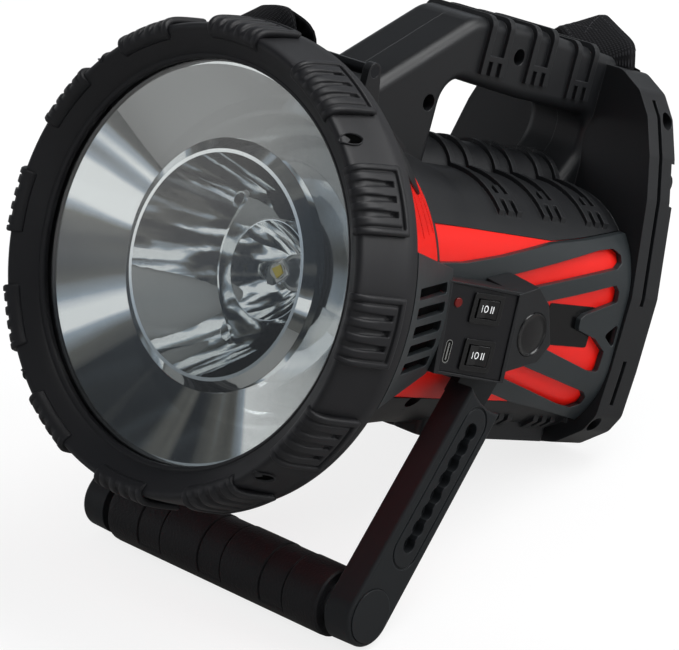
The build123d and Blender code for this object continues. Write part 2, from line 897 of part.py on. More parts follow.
with BuildPart() as body_form:
    # Barrel, with a shoulder that runs up to the head's rear edge
    with BuildSketch(cross_plane(barrel_front)):
        barrel_section(0)
    extrude(amount=-side_length)
    with BuildSketch(cross_plane(barrel_front)):
        RectangleRounded(
            2 * head_rear_radius, 2 * head_rear_radius, head_rear_radius - seat_gap
        )
    with BuildSketch(cross_plane(barrel_front + shoulder_length)):
        barrel_section(0)
    loft()
    add(handle_form.part)
    for ear_x in (-strap_bar_half_length, strap_bar_half_length - strap_ear_thickness):
        with BuildSketch(side_plane(ear_x)):
            with BuildLine():
                Polyline(
                    (front_bar_depth - strap_ear_radius, front_bar_height),
                    (front_bar_depth - strap_ear_radius, handle_foot),
                    (front_bar_depth + 4 * strap_ear_radius, handle_foot),
                    (front_bar_depth + strap_ear_radius, front_bar_height),
                    close=True,
                )
            make_face()
            with Locations((front_bar_depth, front_bar_height)):
                Circle(strap_ear_radius)
        extrude(amount=strap_ear_thickness)
    # The handle's foot and the ears stand clear of the head cone, on a saddle over it
    with BuildSketch(Plane.XY):
        with BuildLine():
            Polyline(
                (0, 0),
                (cone_radius(0) + seat_gap, 0),
                (head_rear_radius + seat_gap, head_rear),
                (head_rear_radius + seat_gap, barrel_front),
                (0, barrel_front),
                close=True,
            )
        make_face()
    revolve(axis=Axis.Y, mode=Mode.SUBTRACT)
    add(saddle.part)
    # Ridge and skids
    with BuildSketch(cross_plane(ridge_bar_front)):
        with Locations((0, ridge_bar_height)):
            Circle(ridge_bar_radius)
    extrude(amount=-(frame_front - ridge_bar_front))
    with BuildSketch(Plane.XY.offset(-skid_reach)):
        with Locations((-skid_spread, skid_front), (skid_spread, skid_front)):
            RectangleRounded(
                2 * skid_half_width,
                frame_front - skid_front - skid_half_width / 2,
                skid_half_width / 2,
                align=(Align.CENTER, Align.MIN),
            )
    extrude(amount=skid_half_width)
    add(barrel_bands.part)
    add(handle_bands.part)
    add(rear_frame_form.part)
    # Hollow for the battery, and the openings at both ends
    with BuildSketch(cross_plane(barrel_front + barrel_front_wall)):
        barrel_section(-barrel_wall)
    extrude(amount=-(frame_rear - rear_wall - barrel_front - barrel_front_wall), mode=Mode.SUBTRACT)
    with BuildSketch(cross_plane(barrel_front - overrun)):
        Circle(sink_radius + barrel_front_wall)
    extrude(amount=-(barrel_front_wall + 2 * overrun), mode=Mode.SUBTRACT)
    with BuildSketch(cross_plane(frame_rear - rear_wall - overrun)):
        barrel_section(-barrel_wall - rear_opening_inset)
    extrude(amount=-(rear_wall + 2 * overrun), mode=Mode.SUBTRACT)
    with BuildSketch(cross_plane(frame_rear - rear_cover_thickness)):
        barrel_section(-barrel_wall - rear_opening_inset + rear_cover_lap + seat_gap)
    extrude(amount=-(rear_cover_thickness + overrun), mode=Mode.SUBTRACT)
    # Bosses for the screws that cross the hollow
    with BuildSketch(side_plane(-barrel_half_width * 0.8)):
        with Locations(*boss_places):
            Circle(screw_boss_radius)
    extrude(amount=2 * barrel_half_width * 0.8)
    # Side pockets, on both sides
    add(side_space.part, mode=Mode.SUBTRACT)
    add(side_space.part.mirror(Plane.YZ), mode=Mode.SUBTRACT)
    # Holes for the hinge bolts
    with BuildSketch(side_plane(-barrel_half_width - overrun)):
        with Locations((hinge_depth, 0)):
            Circle(bolt_radius + seat_gap)
    extrude(amount=2 * (barrel_half_width + overrun), mode=Mode.SUBTRACT)
    # Grooves down the sides of the frame, and the notch with its bar across the rear
    add(frame_grooves.part, mode=Mode.SUBTRACT)
    with BuildSketch(cross_plane(frame_rear - notch_depth)):
        with Locations((0, notch_low)):
            Rectangle(
                2 * frame_half_width, notch_high - notch_low, align=(Align.CENTER, Align.MIN)
            )
    extrude(amount=-(notch_depth + overrun), mode=Mode.SUBTRACT)
    notch_middle = (notch_low + notch_high) / 2
    notch_bar_half = frame_side[4][0] - notch_bar_radius
    with BuildSketch(side_plane(-notch_bar_half)):
        with Locations((frame_rear - notch_bar_sink, notch_middle)):
            Circle(notch_bar_radius)
    extrude(amount=2 * notch_bar_half)
    # Pocket round the rear bar of the strap, and the holes for both bars
    rear_bar_depth = frame_rear - rear_bar_setback
    rear_bar_height = frame_top - rear_bar_drop
    with BuildSketch(side_plane(strap_ear_thickness - strap_bar_half_length)):
        with Locations((frame_rear - strap_pocket_front, frame_top - strap_pocket_drop)):
            Rectangle(
                strap_pocket_front + overrun,
                strap_pocket_drop + 2 * overrun,
                align=(Align.MIN, Align.MIN),
            )
    extrude(amount=2 * (strap_bar_half_length - strap_ear_thickness), mode=Mode.SUBTRACT)
    with BuildSketch(side_plane(-strap_bar_half_length - seat_gap)):
        with Locations((front_bar_depth, front_bar_height), (rear_bar_depth, rear_bar_height)):
            Circle(strap_bar_radius + running_gap)
    extrude(amount=2 * (strap_bar_half_length + seat_gap), mode=Mode.SUBTRACT)
    # Holes for the screws of the rear cover, and shank holes for the housing screws
    with BuildSketch(cross_plane(frame_rear)):
        with Locations(*cover_screw_places):
            Circle(screw_radius + running_gap)
    extrude(amount=rear_wall, mode=Mode.SUBTRACT)
    with BuildSketch(side_plane(screw_seat - screw_length)):
        with Locations(*screw_places, *boss_places):
            Circle(screw_radius + running_gap)
    extrude(amount=screw_length, mode=Mode.SUBTRACT)

# The two body shells, which meet in the middle
with BuildPart() as right_body_shell:
    add(body_form.part)
    split(bisect_by=Plane.YZ)
    with BuildSketch(side_plane(screw_seat)):
        with Locations(*screw_places, *boss_places):
            Circle(screw_hole_radius)
    extrude(amount=frame_half_width, mode=Mode.SUBTRACT)

with BuildPart() as left_body_shell:
    add(body_form.part)
    split(bisect_by=Plane.YZ, keep=Keep.BOTTOM)

with BuildPart() as housing_screws:
    with BuildSketch(side_plane(screw_seat - screw_length)):
        with Locations(*screw_places, *boss_places):
            Circle(screw_radius)
    extrude(amount=screw_length)
    with BuildSketch(side_plane(screw_seat)):
        with Locations(*screw_places, *boss_places):
            Circle(screw_head_radius)
    extrude(amount=screw_head_height)

# Rear cover, with its screws sunk in
with BuildPart() as rear_cover:
    with BuildSketch(cross_plane(frame_rear - rear_cover_thickness)):
        barrel_section(-barrel_wall - rear_opening_inset + rear_cover_lap)
    extrude(amount=-rear_cover_thickness)
    chamfer(rear_cover.faces().sort_by(Axis.Y)[-1].edges(), length=rear_cover_bevel)
    with BuildSketch(cross_plane(frame_rear)):
        with Locations(*cover_screw_places):
            Circle(screw_radius + seat_gap)
    extrude(amount=rear_cover_thickness, mode=Mode.SUBTRACT)
    with BuildSketch(cross_plane(frame_rear)):
        with Locations(*cover_screw_places):
            Circle(screw_head_radius + seat_gap)
    extrude(amount=screw_head_height, mode=Mode.SUBTRACT)

# Strap bars
with BuildPart() as strap_bars:
    with BuildSketch(side_plane(-strap_bar_half_length)):
        with Locations((front_bar_depth, front_bar_height), (rear_bar_depth, rear_bar_height)):
            Circle(strap_bar_radius)
    extrude(amount=2 * strap_bar_half_length)

with BuildPart() as cover_screws:
    with BuildSketch(cross_plane(frame_rear)):
        with Locations(*cover_screw_places):
            Circle(screw_radius)
    extrude(amount=rear_wall)
    with BuildSketch(cross_plane(frame_rear)):
        with Locations(*cover_screw_places):
            Circle(screw_head_radius)
    extrude(amount=screw_head_height)

# Coloured side panels, set into the shells
with BuildPart() as right_side_panel:
    with BuildSketch(side_plane(barrel_half_width / 2)):
        with BuildLine():
            Polyline(*side_points(panel_shares), close=True)
        make_face()
        with Locations((hinge_depth, 0)):
            Circle(bolt_radius + seat_gap, mode=Mode.SUBTRACT)
    extrude(amount=barrel_half_width)
    with BuildSketch(cross_plane(barrel_front)):
        barrel_section(0)
        barrel_section(-panel_thickness, mode=Mode.SUBTRACT)
    extrude(amount=-side_length, mode=Mode.INTERSECT)

with BuildPart() as left_side_panel:
    add(right_side_panel.part.mirror(Plane.YZ))

# Plane of the switch panel, and outlines of the pod round the hinge
panel_plane = Plane(
    origin=(pod_reach, pod_turn_depth, 0),
    x_dir=(sin(radians(panel_tilt)), cos(radians(panel_tilt)), 0),
    z_dir=(cos(radians(panel_tilt)), -sin(radians(panel_tilt)), 0),
)
trim_face = barrel_half_width + trim_thickness
hub_face_shares = (
    (-0.765, 0.81), (-0.148, 1.0), (0.322, 0.661), (0.732, -0.191), (0.443, -0.574),
    (-0.568, -0.836),
)
hub_base_shares = (
    (-0.90, 0.956), (-0.137, 1.12), (0.519, 0.765), (1.066, -0.164), (0.683, -0.738),
    (-0.574, -1.066),
)
panel_block_shares = ((-2.11, 0.90), (0.0, 0.86), (0.11, -1.08), (-1.89, -1.04))
panel_face_shares = ((-2.0, 0.86), (-0.10, 0.78), (0.0, -1.04), (-1.77, -0.965))


def hub_points(shares):
    """Points round the hinge, from shares of the hub's size."""
    return [(hinge_depth + hub_size * u, hub_size * v) for u, v in shares]


def panel_points(shares):
    """Points on the switch panel's plane, from shares of the hub's size."""
    return [(hub_size * u, hub_size * v) for u, v in shares]


# Vented fairing and strutted frame over each side, in one piece
fairing_front = head_front + seat_gap
with BuildPart() as fairing_form:
    with BuildSketch(Plane.XY):
        fairing_inner_rear = fairing_rear_radius - fairing_wall
        with BuildLine():
            Polyline(
                (head_front_radius + seat_gap, fairing_front),
                (fairing_front_radius, fairing_front),
                (fairing_rear_radius, head_rear),
                (barrel_half_width + seat_gap, head_rear),
                (barrel_half_width + seat_gap, head_rear - fairing_wall),
                (fairing_inner_rear, head_rear - fairing_wall),
                close=True,
            )
        make_face()
    revolve(axis=Axis.Y)
    with BuildSketch(side_plane(0)):
        with BuildLine():
            Polyline(
                (fairing_front, fairing_front_half),
                (head_rear, fairing_rear_half),
                (head_rear, -fairing_rear_half),
                (fairing_front, -fairing_front_half),
                close=True,
            )
        make_face()
    extrude(amount=ring_radius, mode=Mode.INTERSECT)
    # Vents
    with BuildSketch(side_plane(0)):
        for number in range(vent_count):
            height = vent_pitch * (number - (vent_count - 1) / 2)
            lead = vent_lead * (vent_count - 1 - number) / (vent_count - 1)
            with Locations(((vent_front + vent_rear + lead) / 2, height)):
                RectangleRounded(vent_rear - vent_front - lead, vent_height, vent_height / 4)
    extrude(amount=ring_radius, mode=Mode.SUBTRACT)
    # The lip of the pod lies in the rear edge
    with BuildSketch(panel_plane.offset(-pod_lip - seat_gap)):
        with BuildLine():
            Polyline(*panel_points(panel_block_shares), close=True)
        make_face()
        offset(amount=seat_gap, kind=Kind.INTERSECTION)
    extrude(amount=pod_reach, mode=Mode.SUBTRACT)

with BuildPart() as right_side_trim:
    with BuildSketch(side_plane(barrel_half_width / 2)):
        with BuildLine():
            Polyline(*side_points(trim_shares), close=True)
        make_face()
        for shares in (
            long_window_shares,
            [(u, -v) for u, v in long_window_shares],
            middle_window_shares,
            chevron_window_shares,
        ):
            with BuildLine():
                FilletPolyline(*side_points(shares), radius=window_rounding, close=True)
            make_face(mode=Mode.SUBTRACT)
        with Locations((hinge_depth, 0)):
            Circle(washer_radius + seat_gap, mode=Mode.SUBTRACT)
    extrude(amount=barrel_half_width)
    with BuildSketch(cross_plane(head_rear - fairing_wall)):
        barrel_section(trim_thickness)
        barrel_section(seat_gap, mode=Mode.SUBTRACT)
    extrude(amount=-(side_length + fairing_wall), mode=Mode.INTERSECT)
    add(fairing_form.part)

with BuildPart() as left_side_trim:
    add(right_side_trim.part.mirror(Plane.YZ))

# Hinge: bolts with nuts inside, washers between the panels and the arms
washer_face = barrel_half_width + running_gap
with BuildPart() as pivot_washers:
    with BuildSketch(side_plane(washer_face)):
        with Locations((hinge_depth, 0)):
            Circle(washer_radius)
            Circle(bolt_radius + seat_gap, mode=Mode.SUBTRACT)
    extrude(amount=arm_inner - washer_face - running_gap)
    mirror(about=Plane.YZ)

bolt_head_seat = pocket_roof + pod_web
bolt_tip = barrel_half_width - barrel_wall - nut_height
with BuildPart() as pivot_bolts:
    with BuildSketch(side_plane(bolt_tip)):
        with Locations((hinge_depth, 0)):
            Circle(bolt_radius)
    extrude(amount=bolt_head_seat - bolt_tip)
    with BuildSketch(side_plane(bolt_head_seat)):
        with Locations((hinge_depth, 0)):
            Circle(bolt_head_radius)
    extrude(amount=bolt_head_height)
    mirror(about=Plane.YZ)

with BuildPart() as pivot_nuts:
    with BuildSketch(side_plane(barrel_half_width - barrel_wall)):
        with Locations((hinge_depth, 0)):
            RegularPolygon(nut_radius, 6)
            Circle(bolt_radius + running_gap, mode=Mode.SUBTRACT)
    extrude(amount=-nut_height)
    mirror(about=Plane.YZ)

def arm_direction(angle):
    """Unit direction in the side view of an arm that leans by the angle below forward."""
    return -cos(radians(angle)), -sin(radians(angle))


# Pod round the hinge: a tilted switch panel block and a faceted hub. First the space
# that the arm's eye sweeps inside it, then the fairing that its foot lies against
eye_clear = arm_hub_radius + pocket_side_gap
forward_y, forward_z = arm_direction(arm_lean - swing_forward)
back_y, back_z = arm_direction(arm_lean + swing_back)
sweep_reach = arm_shoulder * 2
with BuildPart() as eye_space:
    with BuildSketch(side_plane(trim_face - overrun)):
        with Locations((hinge_depth, 0)):
            Circle(eye_clear)
        with BuildLine():
            Polyline(
                (hinge_depth + eye_clear * forward_z, -eye_clear * forward_y),
                (
                    hinge_depth + eye_clear * forward_z + sweep_reach * forward_y,
                    -eye_clear * forward_y + sweep_reach * forward_z,
                ),
                (hinge_depth, -2 * sweep_reach),
                (
                    hinge_depth - eye_clear * back_z + sweep_reach * back_y,
                    eye_clear * back_y + sweep_reach * back_z,
                ),
                (hinge_depth - eye_clear * back_z, eye_clear * back_y),
                (hinge_depth, 0),
                close=True,
            )
        make_face()
    extrude(amount=pocket_roof - trim_face + overrun)

with BuildPart() as fairing_core:
    with BuildSketch(Plane.XY):
        with BuildLine():
            Polyline(
                (0, fairing_front),
                (fairing_front_radius + seat_gap, fairing_front),
                (fairing_rear_radius + seat_gap, head_rear + seat_gap),
                (0, head_rear + seat_gap),
                close=True,
            )
        make_face()
    revolve(axis=Axis.Y)
    with BuildSketch(panel_plane.offset(-pod_lip)):
        Rectangle(4 * pod_reach, 4 * pod_reach)
    extrude(amount=pod_reach, mode=Mode.SUBTRACT)

with BuildPart() as pod_form:
    with BuildSketch(panel_plane):
        with BuildLine():
            Polyline(*panel_points(panel_block_shares), close=True)
        make_face()
    extrude(amount=-(pod_reach - trim_face + overrun))
    with BuildSketch(side_plane(trim_face - overrun)):
        with BuildLine():
            Polyline(*hub_points(hub_base_shares), close=True)
        make_face()
    with BuildSketch(side_plane(pod_reach)):
        with BuildLine():
            Polyline(*hub_points(hub_face_shares), close=True)
        make_face()
    loft(ruled=True)
    # The foot stands on the frame, and the front lies along the fairing
    with BuildSketch(side_plane(trim_face + seat_gap)):
        with Locations((hinge_depth, 0)):
            Rectangle(8 * hub_size, 8 * hub_size)
    extrude(amount=-barrel_half_width, mode=Mode.SUBTRACT)
    add(fairing_core.part, mode=Mode.SUBTRACT)
    add(eye_space.part, mode=Mode.SUBTRACT)
    # Bolt hole, seat of the bolt's head and the cap's recess
    with BuildSketch(side_plane(pocket_roof - overrun)):
        with Locations((hinge_depth, 0)):
            Circle(bolt_radius + seat_gap)
    extrude(amount=pod_reach, mode=Mode.SUBTRACT)
    with BuildSketch(side_plane(bolt_head_seat)):
        with Locations((hinge_depth, 0)):
            Circle(bolt_head_radius + seat_gap)
    extrude(amount=pod_reach, mode=Mode.SUBTRACT)
    with BuildSketch(side_plane(pod_reach - cap_sink - cap_thickness)):
        with Locations((hinge_depth, 0)):
            Circle(cap_radius + seat_gap)
    extrude(amount=pod_reach, mode=Mode.SUBTRACT)

with BuildPart() as left_pod_housing:
    add(pod_form.part.mirror(Plane.YZ))

# Places on the switch panel, seen from outside
upper_switch = (-upper_switch_across, upper_switch_up, upper_switch_height)
lower_switch = (-lower_switch_across, -lower_switch_up, lower_switch_height)
switches = (upper_switch, lower_switch)
indicator_place = (-indicator_across, indicator_up)
port_place = (-port_across, -port_down)
face_floor = -face_sink - face_thickness

with BuildPart() as right_pod_housing:
    add(pod_form.part)
    with BuildSketch(panel_plane.offset(face_floor)):
        with BuildLine():
            Polyline(*panel_points(panel_face_shares), close=True)
        make_face()
        offset(amount=seat_gap, kind=Kind.INTERSECTION)
    extrude(amount=-face_floor + overrun, mode=Mode.SUBTRACT)
    # Wells for the switches, the charge indicator and the charging port
    with BuildSketch(panel_plane.offset(face_floor)):
        for across, up, height in switches:
            with Locations((across, up)):
                Rectangle(
                    switch_width - 2 * switch_rim + 2 * seat_gap,
                    height - 2 * switch_rim + 2 * seat_gap,
                )
    extrude(amount=-(switch_body_depth + face_floor + seat_gap), mode=Mode.SUBTRACT)
    with BuildSketch(panel_plane.offset(face_floor)):
        with Locations(port_place):
            Rectangle(port_width + 2 * seat_gap, port_height + 2 * seat_gap)
    extrude(amount=-(port_depth + face_floor + seat_gap), mode=Mode.SUBTRACT)

with BuildPart() as switch_panel:
    with BuildSketch(panel_plane.offset(face_floor)):
        with BuildLine():
            Polyline(*panel_points(panel_face_shares), close=True)
        make_face()
        for across, up, height in switches:
            with Locations((across, up)):
                Rectangle(
                    switch_width - 2 * switch_rim + 2 * seat_gap,
                    height - 2 * switch_rim + 2 * seat_gap,
                    mode=Mode.SUBTRACT,
                )
        with Locations(indicator_place):
            Circle(indicator_radius + running_gap, mode=Mode.SUBTRACT)
        with Locations(port_place):
            RectangleRounded(
                port_width + 2 * seat_gap,
                port_height + 2 * seat_gap,
                port_width / 2,
                mode=Mode.SUBTRACT,
            )
    extrude(amount=face_thickness)

with BuildPart() as charge_indicator:
    with BuildSketch(panel_plane.offset(face_floor)):
        with Locations(indicator_place):
            Circle(indicator_radius)
    extrude(amount=face_thickness + indicator_rise)
    fillet(
        charge_indicator.faces().sort_by(Axis.X)[-1].edges(), radius=indicator_rise - seat_gap
    )

with BuildPart() as charging_port:
    with BuildSketch(panel_plane.offset(-port_depth)):
        with Locations(port_place):
            RectangleRounded(port_width, port_height, port_width / 2 - seat_gap)
    extrude(amount=port_depth - face_sink)
    with BuildSketch(panel_plane.offset(port_wall - port_depth)):
        with Locations(port_place):
            RectangleRounded(
                port_width - 2 * port_wall,
                port_height - 2 * port_wall,
                port_width / 2 - port_wall - seat_gap,
            )
            Rectangle(port_tongue, port_tongue_height, mode=Mode.SUBTRACT)
    extrude(amount=port_depth, mode=Mode.SUBTRACT)

# Three-position switches: housings with a rim, and rockers that turn in them
rocker_reach = switch_width / 2 - switch_rim - switch_wall - rocker_end_gap
rocker_high = rocker_pivot_sink + switch_rim + rocker_rise


def rocker_plane(across, up):
    """Plane across a switch at its pivot, whose own y points out of the panel."""
    pivot = panel_plane.from_local_coords(Vector(across, up, -face_sink - rocker_pivot_sink))
    return Plane(origin=pivot, x_dir=panel_plane.x_dir, z_dir=(0, 0, -1))


with BuildPart() as switch_housings:
    for across, up, height in switches:
        with BuildSketch(panel_plane.offset(-face_sink)):
            with Locations((across, up)):
                RectangleRounded(switch_width, height, switch_rim)
        extrude(amount=switch_rim)
        with BuildSketch(panel_plane.offset(-face_sink)):
            with Locations((across, up)):
                Rectangle(switch_width - 2 * switch_rim, height - 2 * switch_rim)
        extrude(amount=face_sink - switch_body_depth)
        with BuildSketch(panel_plane.offset(-switch_body_depth + switch_wall)):
            with Locations((across, up)):
                Rectangle(
                    switch_width - 2 * switch_rim - 2 * switch_wall,
                    height - 2 * switch_rim - 2 * switch_wall,
                )
        extrude(amount=switch_body_depth + overrun, mode=Mode.SUBTRACT)
        with BuildSketch(rocker_plane(across, up)):
            Circle(rocker_pin_radius + rocker_pin_gap)
        extrude(amount=height / 2 - switch_rim, both=True, mode=Mode.SUBTRACT)


def rocker_outline():
    """Corners of a rocker's section, from its foot round to its dished face."""
    foot = rocker_reach - rocker_foot_inset
    return (
        (-foot, -rocker_depth),
        (foot, -rocker_depth),
        (rocker_reach, 0),
        (rocker_reach - rocker_end_gap, rocker_high),
        (0, rocker_high - rocker_dip),
        (rocker_end_gap - rocker_reach, rocker_high),
        (-rocker_reach, 0),
    )


rocker_inner = switch_rim + switch_wall + rocker_side_gap
with BuildPart() as upper_rocker:
    with BuildSketch(rocker_plane(*upper_switch[:2])):
        with BuildLine():
            Polyline(*rocker_outline(), close=True)
        make_face()
    extrude(amount=upper_switch_height / 2 - rocker_inner, both=True)
    with BuildSketch(rocker_plane(*upper_switch[:2])):
        Circle(rocker_pin_radius)
    extrude(amount=upper_switch_height / 2 - switch_rim - rocker_pin_gap, both=True)

with BuildPart() as lower_rocker:
    with BuildSketch(rocker_plane(*lower_switch[:2])):
        with BuildLine():
            Polyline(*rocker_outline(), close=True)
        make_face()
    extrude(amount=lower_switch_height / 2 - rocker_inner, both=True)
    with BuildSketch(rocker_plane(*lower_switch[:2])):
        Circle(rocker_pin_radius)
    extrude(amount=lower_switch_height / 2 - switch_rim - rocker_pin_gap, both=True)

# Caps over the hinge bolts
with BuildPart() as pivot_caps:
    with BuildSketch(side_plane(pod_reach - cap_sink - cap_thickness)):
        with Locations((hinge_depth, 0)):
            Circle(cap_radius)
    extrude(amount=cap_thickness)
    with BuildSketch(side_plane(pod_reach - cap_sink)):
        with Locations((hinge_depth, 0)):
            Circle(cap_radius - 2 * cap_dish)
    extrude(amount=-cap_dish, mode=Mode.SUBTRACT)
    mirror(about=Plane.YZ)

# Stand arms: a thin eye inside the pod and a thick arm that splays outward
splay = radians(arm_splay)
lean = radians(arm_lean)
eye_plane = Plane(
    origin=(arm_inner, hinge_depth, 0), x_dir=(0, -cos(lean), -sin(lean)), z_dir=(1, 0, 0)
)
arm_plane = Plane(
    origin=(arm_inner, hinge_depth, 0),
    x_dir=(sin(splay), -cos(splay) * cos(lean), -cos(splay) * sin(lean)),
    z_dir=(cos(splay), sin(splay) * cos(lean), sin(splay) * sin(lean)),
)
grip_depth = hinge_depth - arm_length * cos(splay) * cos(lean)
grip_height = -arm_length * cos(splay) * sin(lean)
grip_inner = arm_inner + arm_length * sin(splay)
eye_thickness = pocket_roof - arm_inner - slide_gap
slot_length = slot_end - slot_start
slot_middle = (slot_start + slot_end) / 2

with BuildPart() as right_arm:
    with BuildSketch(arm_plane):
        Circle(arm_hub_radius)
        with Locations((arm_length, 0)):
            Circle(arm_end_radius)
        make_hull()
        Circle(arm_shoulder, mode=Mode.SUBTRACT)
    extrude(amount=arm_thickness)
    fillet(right_arm.faces().sort_by(Axis.X)[-1].edges(), radius=arm_edge_rounding)
    with BuildSketch(eye_plane):
        Circle(arm_hub_radius)
        with Locations((arm_shoulder + slot_half_width, 0)):
            Rectangle(
                2 * arm_hub_radius, 2 * arm_hub_radius, align=(Align.MAX, Align.CENTER)
            )
        Rectangle(
            arm_shoulder, 2 * arm_hub_radius, align=(Align.MIN, Align.CENTER)
        )
    extrude(amount=eye_thickness)
    with BuildSketch(eye_plane):
        Circle(bolt_radius + running_gap)
    extrude(amount=eye_thickness, mode=Mode.SUBTRACT)
    # Scalloped slot, and the bead round it
    with BuildSketch(arm_plane.offset(arm_thickness - slot_depth)):
        with Locations((slot_middle, 0)):
            SlotOverall(slot_length, 2 * slot_half_width)
        for number in range(scallop_count):
            share = (number + 0.5) / scallop_count
            with Locations((slot_start + slot_length * share, 0)):
                Circle(scallop_radius)
    extrude(amount=slot_depth + overrun, mode=Mode.SUBTRACT)
    with BuildSketch(arm_plane.offset(arm_thickness - bead_depth)):
        with Locations((slot_middle, 0)):
            SlotOverall(slot_length + 2 * bead_offset, 2 * (bead_offset + bead_width))
            SlotOverall(slot_length + 2 * (bead_offset - bead_width), 2 * bead_offset, mode=Mode.SUBTRACT)
    extrude(amount=bead_depth + overrun, mode=Mode.SUBTRACT)
    # Seats for the cross tube and for the end cap
    with BuildSketch(side_plane(grip_inner - overrun)):
        with Locations((grip_depth, grip_height)):
            Circle(tube_radius + running_gap)
    extrude(amount=tube_seat + overrun, mode=Mode.SUBTRACT)
    with BuildSketch(arm_plane.offset(arm_thickness - end_cap_thickness + end_cap_rise)):
        with Locations((arm_length, 0)):
            Circle(end_cap_radius + seat_gap)
    extrude(amount=end_cap_thickness + overrun, mode=Mode.SUBTRACT)

with BuildPart() as left_arm:
    add(right_arm.part.mirror(Plane.YZ))

with BuildPart() as arm_end_caps:
    with BuildSketch(arm_plane.offset(arm_thickness - end_cap_thickness + end_cap_rise)):
        with Locations((arm_length, 0)):
            Circle(end_cap_radius)
    extrude(amount=end_cap_thickness)
    mirror(about=Plane.YZ)

with BuildPart() as cross_tube:
    with BuildSketch(side_plane(-grip_inner - tube_seat + seat_gap)):
        with Locations((grip_depth, grip_height)):
            Circle(tube_radius)
            Circle(tube_radius - tube_wall, mode=Mode.SUBTRACT)
    extrude(amount=2 * (grip_inner + tube_seat - seat_gap))

with BuildPart() as grip_sleeve:
    with BuildSketch(side_plane(-sleeve_half_length)):
        with Locations((grip_depth, grip_height)):
            Circle(sleeve_radius)
    extrude(amount=2 * sleeve_half_length)
    fillet(grip_sleeve.edges(), radius=sleeve_rounding)
    for middle in sleeve_grooves:
        for side in (-1, 1):
            with BuildSketch(side_plane(side * middle - sleeve_groove_width / 2)):
                with Locations((grip_depth, grip_height)):
                    Circle(sleeve_radius + overrun)
                    Circle(sleeve_radius - sleeve_groove_depth, mode=Mode.SUBTRACT)
            extrude(amount=sleeve_groove_width, mode=Mode.SUBTRACT)
    with BuildSketch(side_plane(-sleeve_half_length - overrun)):
        with Locations((grip_depth, grip_height)):
            Circle(tube_radius + running_gap)
    extrude(amount=2 * (sleeve_half_length + overrun), mode=Mode.SUBTRACT)

# Battery cells in their cradle, and the control board on top
cell_places = [
    (
        cell_pitch * (column - (cell_columns - 1) / 2),
        cell_pitch * (row - (cell_rows - 1) / 2),
    )
    for column in range(cell_columns)
    for row in range(cell_rows)
]
cradle_half_width = cell_pitch * cell_columns / 2 + cradle_wall
cradle_half_height = cell_pitch * cell_rows / 2 + cradle_wall
hollow_half_height = barrel_half_height - barrel_wall

with BuildPart() as battery_cells:
    with BuildSketch(cross_plane(cell_front)):
        with Locations(*cell_places):
            Circle(cell_radius)
    extrude(amount=-cell_length)

with BuildPart() as battery_cradle:
    # End plates and feet that stand on the floor of the barrel
    for plate_front in (cell_front - cradle_wall, cell_front + cell_length):
        with BuildSketch(cross_plane(plate_front)):
            Rectangle(2 * cradle_half_width, 2 * cradle_half_height)
            with Locations((0, -hollow_half_height)):
                Rectangle(
                    cradle_half_width,
                    hollow_half_height,
                    align=(Align.CENTER, Align.MIN),
                )
        extrude(amount=-cradle_wall)
    with BuildSketch(cross_plane(cell_front - cradle_wall)):
        with Locations((0, cradle_half_height)):
            Rectangle(2 * cradle_half_width, cradle_wall, align=(Align.CENTER, Align.MAX))
        with Locations((0, -cradle_half_height)):
            Rectangle(2 * cradle_half_width, cradle_wall, align=(Align.CENTER, Align.MIN))
        for side in (-1, 1):
            with Locations((side * (control_half_width - cradle_wall), cradle_half_height)):
                Rectangle(cradle_wall, cradle_rib, align=(Align.CENTER, Align.MIN))
    extrude(amount=-(cell_length + 2 * cradle_wall))

with BuildPart() as control_board:
    board_low = cradle_half_height + cradle_rib
    with BuildSketch(Plane.XY.offset(board_low)):
        with Locations((0, cell_front - cradle_wall)):
            Rectangle(2 * control_half_width, control_length, align=(Align.CENTER, Align.MIN))
    extrude(amount=control_thickness)
    with BuildSketch(Plane.XY.offset(board_low + control_thickness)):
        with Locations((0, cell_front + control_length / 3)):
            with GridLocations(2 * chip_size, 2 * chip_size, 2, 2):
                Rectangle(chip_size, chip_size)
    extrude(amount=chip_height)

# Rest pose: the lamp stands on its grip and on the lower rear edge of its frame
edge_depth = frame_rear - frame_bevel
edge_height = -frame_bottom
rest_run = edge_depth - grip_depth
rest_rise = edge_height - grip_height
pitch = atan2(rest_rise, rest_run) + asin(sleeve_radius / hypot(rest_run, rest_rise))
floor_drop = edge_depth * sin(pitch) - edge_height * cos(pitch)
grip_forward = grip_depth * cos(pitch) + grip_height * sin(pitch)
edge_forward = edge_depth * cos(pitch) + edge_height * sin(pitch)
rest_tilt = Location((0, 0, 0), (-degrees(pitch), 0, 0))

